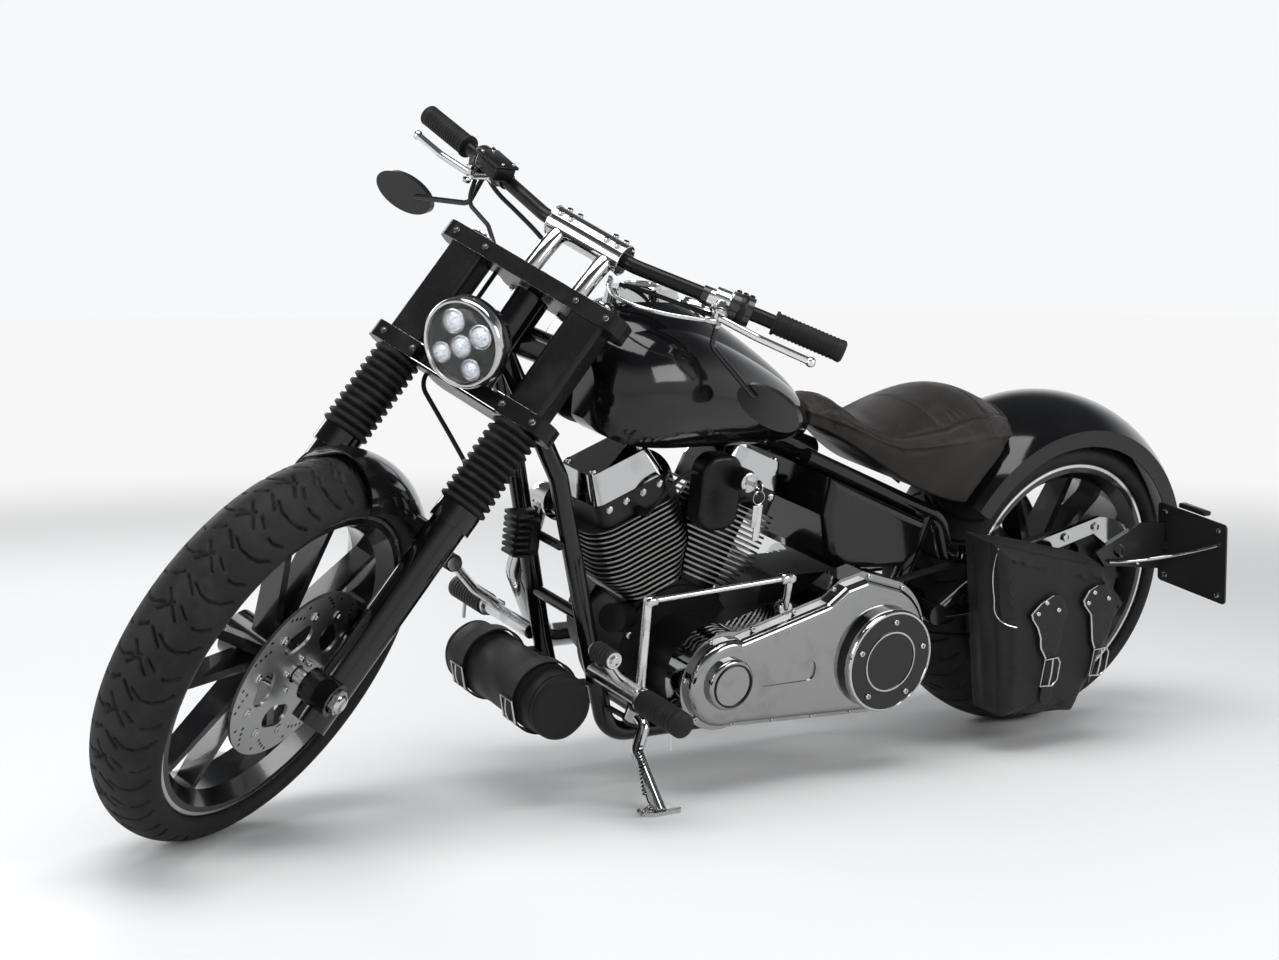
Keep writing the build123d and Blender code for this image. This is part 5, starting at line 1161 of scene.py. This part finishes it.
cap = lathe([(0.0380, -0.006), (0.0380, 0.003), (0.0360, 0.0065), (0.0320, 0.0075), (0.0300, 0.0125),
             (0.0270, 0.0145), (0.0090, 0.0150), (0.0010, 0.0150)], (0.888, 0, 0.871), cap_up, 48)
place(cap, "filler_cap", "body", "chrome")


# Engine, left side: rocker cover bolts, primary screws round the flange, chrome ring with five
# screws on the clutch cover, a ring round the front boss and bolts on the crankcase.
def on_cylinder(tilt, height, along, across):
    """A place measured from the crank up a cylinder, and that cylinder's upward direction."""
    up = Vector((sin(radians(tilt)), 0, cos(radians(tilt))))
    ahead = Vector((cos(radians(tilt)), 0, -sin(radians(tilt))))
    return CRANK + up * height + ahead * along + Vector((0, across, 0)), up


rocker_bolts, head_bolts = [], []
for tilt in (-CYLINDER_LEAN, CYLINDER_LEAN):
    for along in (-0.050, 0.050):
        for across in (-0.040, 0.040):
            spot, up = on_cylinder(tilt, 0.3895, along, across)
            rocker_bolts.append(socket_screw(spot, up, 0.0058))
    for along in (-0.054, -0.018, 0.018, 0.054):
        for sign in (1, -1):
            spot, up = on_cylinder(tilt, 0.326, along, sign * 0.0695)
            head_bolts.append(hexagon_bolt(spot, (0, sign, 0), 0.0060))
place(rocker_bolts, "rocker_bolts", "body", "chrome")
place(head_bolts, "head_bolts", "body", "chrome")
flange = [(0.881, 0.340), (0.700, 0.388), (0.662, 0.416), (0.612, 0.428), (0.520, 0.400)]
flange += arc_through((0.520, 0.400), (0.444, 0.274), (0.560, 0.150), 10)[1:]
flange += [(0.877, 0.163)]
flange += arc_through((0.877, 0.163), (0.991, 0.251), (0.881, 0.340), 10)[1:]
steps = [hypot(x1 - x0, z1 - z0) for (x0, z0), (x1, z1) in zip(flange, flange[1:])]
SCREW_COUNT, primary_screws = 15, []
for i in range(SCREW_COUNT):
    target = (i + 0.35) * sum(steps) / SCREW_COUNT
    for (x0, z0), (x1, z1), step in zip(flange, flange[1:], steps):
        if target <= step:
            t = target / step
            inward = Vector((-(z1 - z0), 0, x1 - x0)).normalized()
            spot = Vector((x0 + (x1 - x0) * t, 0.2098, z0 + (z1 - z0) * t)) + inward * 0.0056
            primary_screws.append(socket_screw(spot, (0, 1, 0), 0.0050, 0.0045))
            break
        target -= step
place(primary_screws, "primary_screws", "body", "chrome")
CLUTCH_X, CLUTCH_Z = 0.556, 0.264
clutch_parts = [
    lathe([(0.0972, -0.008), (0.0978, -0.004), (0.0972, 0.0010), (0.0950, 0.0045), (0.0915, 0.0048),
           (0.0905, 0.0030), (0.0905, -0.008), (0.0972, -0.008)],
          (CLUTCH_X, 0.2510, CLUTCH_Z), (0, 1, 0), 96, closed=True),
    lathe([(0.0575, -0.001), (0.0575, 0.0018), (0.0560, 0.0024), (0.0545, 0.0018), (0.0545, -0.001),
           (0.0575, -0.001)], (CLUTCH_X, 0.2540, CLUTCH_Z), (0, 1, 0), 72, closed=True),
]
for i in range(5):
    angle = radians(90 + 72 * i)
    spot = (CLUTCH_X + 0.076 * cos(angle), 0.2538, CLUTCH_Z + 0.076 * sin(angle))
    clutch_parts.append(socket_screw(spot, (0, 1, 0), 0.0056))
place(clutch_parts, "clutch_cover_ring_and_screws", "body", "chrome")
boss = lathe([(0.0400, -0.001), (0.0400, 0.0022), (0.0385, 0.0030), (0.0365, 0.0022), (0.0365, -0.001),
              (0.0400, -0.001)], (CRANK.x, 0.2460, CRANK.z), (0, 1, 0), 64, closed=True)
place(boss, "primary_boss_ring", "body", "satin_black")
case_bolts = [hexagon_bolt((x, y, z), (0, 1, 0), 0.0062) for x, y, z in (
    (1.012, 0.069, 0.300), (1.020, 0.069, 0.225), (0.990, 0.070, 0.180), (0.930, 0.070, 0.135),
    (0.810, 0.070, 0.128), (0.720, 0.070, 0.140))]
place(case_bolts, "case_bolts", "body", "chrome")


# Spark leads: two rubber-covered cables from the coil between the cylinders to both heads, each
# pushed onto its plug in a moulded rubber boot.
boot = [(0.0065, -0.006), (0.0085, -0.002), (0.0085, 0.012), (0.0060, 0.024), (0.0040, 0.030),
        (0.0010, 0.030)]
leads = []
for tilt, way in (
    (CYLINDER_LEAN, [(0.921, 0.098, 0.600), (0.955, 0.114, 0.606), (0.998, 0.124, 0.582),
                     (1.0198, 0.100, 0.533)]),
    (-CYLINDER_LEAN, [(0.840, 0.096, 0.536), (0.818, 0.112, 0.548), (0.798, 0.116, 0.546),
                      (0.7902, 0.100, 0.533)]),
):
    foot, _ = on_cylinder(tilt, 0.300, 0.0, 0.072)
    leads.append(wire("lead", way, 0.0036, 10))
    leads.append(lathe(boot, foot, (0, 1, 0), 20))
place(leads, "spark_leads", "body", "black_rubber")


# Key in the ignition: a turned chrome bezel on the switch and a flat steel key, with a wire ring
# from which a metal tag and a spare key hang.
SWITCH_X, SWITCH_Z = 0.844, 0.591
ring = [(SWITCH_X + 0.012 * cos(i * pi / 8), 0.1790, 0.572 + 0.012 * sin(i * pi / 8)) for i in range(16)]
key = [
    lathe([(0.0152, -0.001), (0.0178, 0.000), (0.0178, 0.0030), (0.0160, 0.0042), (0.0060, 0.0042),
           (0.0010, 0.0040)], (SWITCH_X, 0.1460, SWITCH_Z), (0, 1, 0), 40),
    block("key_blade", (SWITCH_X, 0.1585, SWITCH_Z), (0.0022, 0.018, 0.009), 0, 0.0005),
    lathe([(0.0105, -0.0012), (0.0120, -0.0008), (0.0120, 0.0008), (0.0105, 0.0012), (0.0050, 0.0012),
           (0.0050, -0.0012), (0.0105, -0.0012)], (SWITCH_X, 0.1750, SWITCH_Z), (1, 0, 0), 32,
          closed=True),
    wire("ring", ring, 0.0010, 8, closed=True),
]
place(key, "ignition_key", "body", "chrome")
fob = [block("fob", (0.842, 0.1800, 0.527), (0.014, 0.0040, 0.066), 0, 0.0014),
       block("spare_key", (0.853, 0.1840, 0.540), (0.010, 0.0022, 0.040), 0, 0.0008)]
place(fob, "key_fob", "body", "silver")


# Brakes: steel discs ground about their axles, with drilled bands and chrome floating buttons, and
# piston caps and bolts on the front caliper. The drillings are dark discs on the band: painted shade, not
# holes.
def turned_steel(name, joint):
    f = Finish(name)
    spin = joints[joint]
    rings = f.make(
        "ShaderNodeTexNoise", {"noise_dimensions": "1D"},
        {"W": f.radius(spin["pos_m"], spin["axis"]) * 1400, "Scale": 1.0, "Detail": 2.0},
    )
    return f.coat(
        Base_Color=rings.between((0.36, 0.36, 0.36, 1), (0.56, 0.56, 0.55, 1)), Metallic=1.0,
        Roughness=0.24 + rings * 0.14, Normal=f.bump(rings, 0.00008),
    )


coat_nodes(turned_steel("front_disc_steel", "front_wheel_spin"), "front_disc")
coat_nodes(turned_steel("rear_disc_steel", "rear_wheel_spin"), "rear_disc")


def around_axle(axle, radius, degrees_up, y):
    """A place at a radius and an angle round an axle."""
    angle = radians(degrees_up)
    return axle.x + radius * cos(angle), y, axle.z + radius * sin(angle)


def finish_disc(name, body, axle, outer, y, face):
    """Sets painted-shade discs for the drillings ten times round a disc's band, and its ten buttons; it
    faces left with face 1.
    """
    hole_r, proud = 0.0031, 0.00012
    hole = [(hole_r, -proud), (hole_r, proud * 0.6), (hole_r * 0.8, proud), (hole_r * 0.05, proud)]
    stud = [(0.0085, -0.001), (0.0085, 0.0016), (0.0070, 0.0024), (0.0045, 0.0024), (0.0040, 0.0008),
            (0.0003, 0.0008)]
    shade_discs, studs = [], []
    for i in range(10):
        # Each drilling is a dark disc set on the band, painted shade where a hole would show.
        for turn, depth in ((-8, 0.008), (-4, 0.014), (0, 0.020), (4, 0.026), (9, 0.011)):
            shade_discs.append(lathe(hole, around_axle(axle, outer - depth, 36 * i + turn, y), (0, face, 0), 12))
        studs.append(lathe(stud, around_axle(axle, outer - 0.038, 36 * i + 18, y), (0, face, 0), 18))
    place(shade_discs, name + "_hole_shades", body, "lamp_backing")
    place(studs, name + "_buttons", body, "chrome")


finish_disc("front_disc", "front_wheel", FRONT_AXLE, 0.150, 0.071, 1)
finish_disc("rear_disc", "rear_wheel", REAR_AXLE, 0.146, -0.133, -1)


def hub_screws(axle, circle, y, face, radius):
    """Five screws on a circle round an axle."""
    return [socket_screw(around_axle(axle, circle, 72 * i + 20, y), (0, face, 0), radius) for i in range(5)]


place(hub_screws(FRONT_AXLE, 0.030, 0.0710, 1, 0.0052), "front_disc_screws", "front_wheel", "chrome")
rear_screws = hub_screws(REAR_AXLE, 0.034, -0.1330, -1, 0.0056)
rear_screws += hub_screws(REAR_AXLE, 0.034, 0.1490, 1, 0.0056)
place(rear_screws, "rear_disc_and_pulley_screws", "rear_wheel", "chrome")
CALIPER_FACE = 0.1090
piston_cap = [(0.0140, -0.001), (0.0140, 0.0016), (0.0125, 0.0024), (0.0060, 0.0024), (0.0055, 0.0010),
              (0.0003, 0.0010)]
caliper_parts = [hexagon_bolt(on_fork(-0.104, CALIPER_FACE, v), (0, 1, 0), 0.0070)
                 for v in (0.056, 0.128)]
caliper_parts += [lathe(piston_cap, on_fork(-0.094, CALIPER_FACE, v), (0, 1, 0), 28)
                  for v in (0.076, 0.108)]
place(caliper_parts, "front_caliper_caps", "steering", "chrome")


# Axle ends: chrome caps turned from bar and pressed over the nuts at both ends of the front
# axle.
axle_cap = [(0.0165, -0.002), (0.0165, 0.001), (0.0150, 0.0040), (0.0110, 0.0058), (0.0085, 0.0040),
            (0.0003, 0.0036)]
axle_caps = [lathe(axle_cap, FRONT_AXLE + Vector((0, sign * 0.1620, 0)), (0, sign, 0), 32)
             for sign in (-1, 1)]
place(axle_caps, "front_axle_caps", "steering", "chrome")


# Forward controls: ribbed rubber on the rider's and the toe pegs, chrome feelers, bolts and rod
# joints, and the arm that the shift rod turns.
PEG_X, PEG_Z, TOE_X, TOE_Z = 1.105, 0.258, 1.196, 0.352


def ribbed(radius, groove_r, first, pitch, count, groove_steps):
    """Rings of a rubber sleeve with grooves cut round it."""
    rings = []
    for i in range(count):
        at = first + i * pitch
        rings += [(radius, at), (groove_r, at + groove_steps[0]), (groove_r, at + groove_steps[1]),
                  (radius, at + groove_steps[2])]
    return rings


peg_rings = [(0.0196, -0.050), (0.0222, -0.0495)]
peg_rings += ribbed(0.0222, 0.0206, -0.044, 0.0100, 9, (0.0012, 0.0032, 0.0044))
peg_rings += [(0.0222, 0.0495), (0.0196, 0.051)]
end_rings = [(0.0200, -0.009), (0.0222, -0.008), (0.0222, 0.002), (0.0190, 0.0052), (0.0080, 0.0062),
             (0.0003, 0.0063)]
toe_rings = [(0.0142, -0.024), (0.0168, -0.0235)]
toe_rings += ribbed(0.0168, 0.0154, -0.0200, 0.0088, 5, (0.0010, 0.0030, 0.0040))
toe_rings += [(0.0168, 0.0225), (0.0142, 0.024)]
peg_rubbers, peg_ends = [], []
for sign in (-1, 1):
    out = (0, sign, 0)
    peg_rubbers.append(lathe(peg_rings, (PEG_X, sign * 0.318, PEG_Z), out, 36))
    peg_rubbers.append(lathe(end_rings, (PEG_X, sign * 0.3775, PEG_Z), out, 36))
    peg_ends.append(wire("feeler", [(PEG_X, sign * 0.350, 0.240), (PEG_X, sign * 0.351, 0.222),
                                    (1.104, sign * 0.352, 0.204)], 0.0038, 10))
    peg_rubbers.append(lathe(toe_rings, (TOE_X, sign * 0.270, TOE_Z), out, 28))
    peg_ends.append(hexagon_bolt((TOE_X, sign * 0.2975, TOE_Z), out, 0.0080))
    peg_ends.append(hexagon_bolt((1.094, sign * 0.2440, 0.262), out, 0.0110))
joint_rings = [(0.0085, -0.010), (0.0100, -0.008), (0.0100, 0.008), (0.0085, 0.010), (0.0003, 0.010)]
peg_ends.append(lathe(joint_rings, (1.082, 0.224, 0.420), (-1, 0, 0.05), 20))
peg_ends.append(lathe(joint_rings, (0.800, 0.224, 0.4355), (-1, 0, 0.05), 20))
peg_ends.append(hexagon_bolt((1.090, 0.2320, 0.420), (0, 1, 0), 0.0070))
peg_ends.append(hexagon_bolt((0.790, 0.2300, 0.436), (0, 1, 0), 0.0070))
place(peg_rubbers, "peg_rubbers", "body", "black_rubber", smooth=50)
place(peg_ends, "peg_ends_and_rod_joints", "body", "chrome")
gear_arm = [
    wire("gear_arm", [(0.790, 0.224, 0.436), (0.786, 0.218, 0.404), (0.778, 0.206, 0.372)], 0.0065, 12),
    lathe([(0.0130, -0.008), (0.0145, -0.006), (0.0145, 0.008), (0.0130, 0.010), (0.0003, 0.010)],
          (0.778, 0.200, 0.372), (0, 1, 0), 28),
]
place(gear_arm, "gear_arm", "body", "chrome")


# Side stand: a coiled steel return spring hooked on beside the leg, a bent chrome tang above the
# foot for the rider's boot, and the pivot's bolt.
def coil(start, end, radius, thick, turns):
    """A close spring of wire between two places."""
    start, end = Vector(start), Vector(end)
    run = (end - start).normalized()
    side_way = run.orthogonal().normalized()
    other = run.cross(side_way)
    count = turns * 8
    points = []
    for i in range(count + 1):
        t = i / count
        angle = 2 * pi * turns * t
        around = side_way * radius * cos(angle) + other * radius * sin(angle)
        points.append(start.lerp(end, t) + around)
    return wire("coil", [tuple(p) for p in points], thick, 6, smooth=False)


SPRING_TOP, SPRING_FOOT = (1.062, 0.205, 0.150), (1.068, 0.249, 0.078)
STAND_PIVOT, PIVOT_UP = Vector((1.036, 0.146, 0.186)), Vector((0, 0.342, 0.94))
spring = [
    coil(SPRING_TOP, SPRING_FOOT, 0.0058, 0.0013, 13),
    wire("hook", [SPRING_TOP, (1.052, 0.195, 0.160), (1.044, 0.186, 0.168)], 0.0014, 8),
    wire("hook", [SPRING_FOOT, (1.066, 0.254, 0.068), (1.062, 0.256, 0.062)], 0.0014, 8),
]
place(spring, "stand_spring", "side_stand", "satin_black")
stand_trim = [
    wire("tang", [(1.060, 0.268, 0.070), (1.082, 0.276, 0.066), (1.104, 0.288, 0.067),
                  (1.114, 0.296, 0.075)], 0.0036, 12),
    hexagon_bolt(STAND_PIVOT + PIVOT_UP * 0.0195, PIVOT_UP, 0.0100),
]
place(stand_trim, "stand_tang_and_pin", "side_stand", "chrome")


# Rear: chrome bolts through the fender struts, the plate's corner screws with their nuts, the
# chrome rod that carries the plate, and a small black lamp over it.
strut_bolts = []
for sign in (-1, 1):
    for x, z in ((0.322, 0.420), (0.250, 0.412), (0.060, 0.436), (-0.020, 0.452), (-0.158, 0.370)):
        strut_bolts.append(hexagon_bolt((x, sign * 0.1634, z), (0, sign, 0), 0.0082))
place(strut_bolts, "strut_bolts", "body", "chrome")
rod = wire("plate_rod", [(-0.066, 0.173, 0.378), (-0.120, 0.176, 0.376), (-0.176, 0.196, 0.384),
                         (-0.206, 0.246, 0.408), (-0.222, 0.306, 0.440)], 0.0036, 12)
place(rod, "plate_rod", "body", "chrome")
PLATE_LEAN = radians(12)
back = Vector((-cos(PLATE_LEAN), 0, sin(PLATE_LEAN)))
plate_up = Vector((sin(PLATE_LEAN), 0, cos(PLATE_LEAN)))
plate_mid = Vector((-0.232, 0.236, 0.402))
plate_screws = []
for across in (-0.070, 0.070):
    for up in (-0.070, 0.070):
        spot = plate_mid + Vector((0, across, 0)) + plate_up * up
        plate_screws.append(hexagon_bolt(spot - back * 0.0002, -back, 0.0052))
        plate_screws.append(hexagon_bolt(spot + back * 0.0041, back, 0.0052))
place(plate_screws, "plate_screws", "body", "chrome")
light_spot = plate_mid + plate_up * 0.0935 + back * 0.008
plate_light = block("plate_light", light_spot, (0.020, 0.070, 0.010), 0, 0.003)
place(plate_light, "plate_light", "body", "satin_black")


# Right side: chrome rings and bolt of the air cleaner, cam cover screws, pushrod tubes with their
# collars, exhaust tips, clamps and port rings.
FILTER_X, FILTER_Z, CAM_X, CAM_Z = 0.900, 0.500, 0.915, 0.285
right_parts = [
    lathe([(0.0860, -0.001), (0.0880, 0.000), (0.0880, 0.006), (0.0860, 0.008), (0.0840, 0.006),
           (0.0840, 0.000), (0.0860, -0.001)], (FILTER_X, -0.126, FILTER_Z), (0, -1, 0), 80,
          closed=True),
    lathe([(0.0480, -0.002), (0.0480, 0.0014), (0.0460, 0.0024), (0.0440, 0.0014), (0.0440, -0.002),
           (0.0480, -0.002)], (FILTER_X, -0.1740, FILTER_Z), (0, -1, 0), 64, closed=True),
    hexagon_bolt((FILTER_X, -0.1738, FILTER_Z), (0, -1, 0), 0.0125),
]
for i in range(6):
    angle = radians(60 * i + 15)
    spot = (CAM_X + 0.096 * cos(angle), -0.1245, CAM_Z + 0.096 * sin(angle))
    right_parts.append(socket_screw(spot, (0, -1, 0), 0.0055))
place(right_parts, "air_cleaner_rings_and_screws", "body", "chrome")
collar = [(0.0090, -0.006), (0.0120, -0.005), (0.0120, 0.006), (0.0090, 0.008), (0.0003, 0.008)]
tubes = []
for tilt, foot_x, middle_x in ((CYLINDER_LEAN, 0.950, 0.964), (CYLINDER_LEAN, 0.978, 0.964),
                               (-CYLINDER_LEAN, 0.880, 0.866), (-CYLINDER_LEAN, 0.852, 0.866)):
    top, _ = on_cylinder(tilt, 0.318, (foot_x - middle_x) * 0.6, -0.079)
    foot = Vector((foot_x, -0.104, 0.378))
    tubes.append(wire("pushrod_tube", [foot, foot.lerp(top, 0.5), top], 0.0078, 16, smooth=False))
    tubes.append(lathe(collar, foot, top - foot, 24))
    tubes.append(lathe(collar, foot.lerp(top, 0.55), top - foot, 24))
place(tubes, "pushrod_tubes", "body", "chrome")
PIPE_Y = -0.232
tip = [(0.0405, -0.030), (0.0425, -0.028), (0.0425, 0.004), (0.0405, 0.006), (0.0375, 0.004),
       (0.0372, -0.030), (0.0405, -0.030)]
can_clamp = [(0.0405, -0.006), (0.0430, -0.005), (0.0430, 0.005), (0.0405, 0.006), (0.0400, 0.0),
             (0.0405, -0.006)]
pipe_clamp = [(0.0236, -0.007), (0.0262, -0.006), (0.0262, 0.006), (0.0236, 0.007), (0.0232, 0.0),
              (0.0236, -0.007)]
port_ring = [(0.0240, 0.000), (0.0360, 0.000), (0.0360, 0.008), (0.0240, 0.010), (0.0238, 0.005),
             (0.0240, 0.000)]
tips = []
for z, can_end in ((0.196, 0.720), (0.296, 0.450)):
    tips.append(lathe(tip, (-0.080, PIPE_Y, z), (-1, 0, 0), 64, closed=True))
    tips.append(lathe(can_clamp, (can_end - 0.030, PIPE_Y, z), (-1, 0, 0), 64, closed=True))
    tips.append(lathe(pipe_clamp, (can_end + 0.015, PIPE_Y, z), (-1, 0, 0), 48, closed=True))
for port_x in (1.085, 0.725):
    tips.append(lathe(port_ring, (port_x, -0.0790, 0.510), (0, -1, 0), 48, closed=True))
place(tips, "exhaust_tips_and_clamps", "body", "chrome")
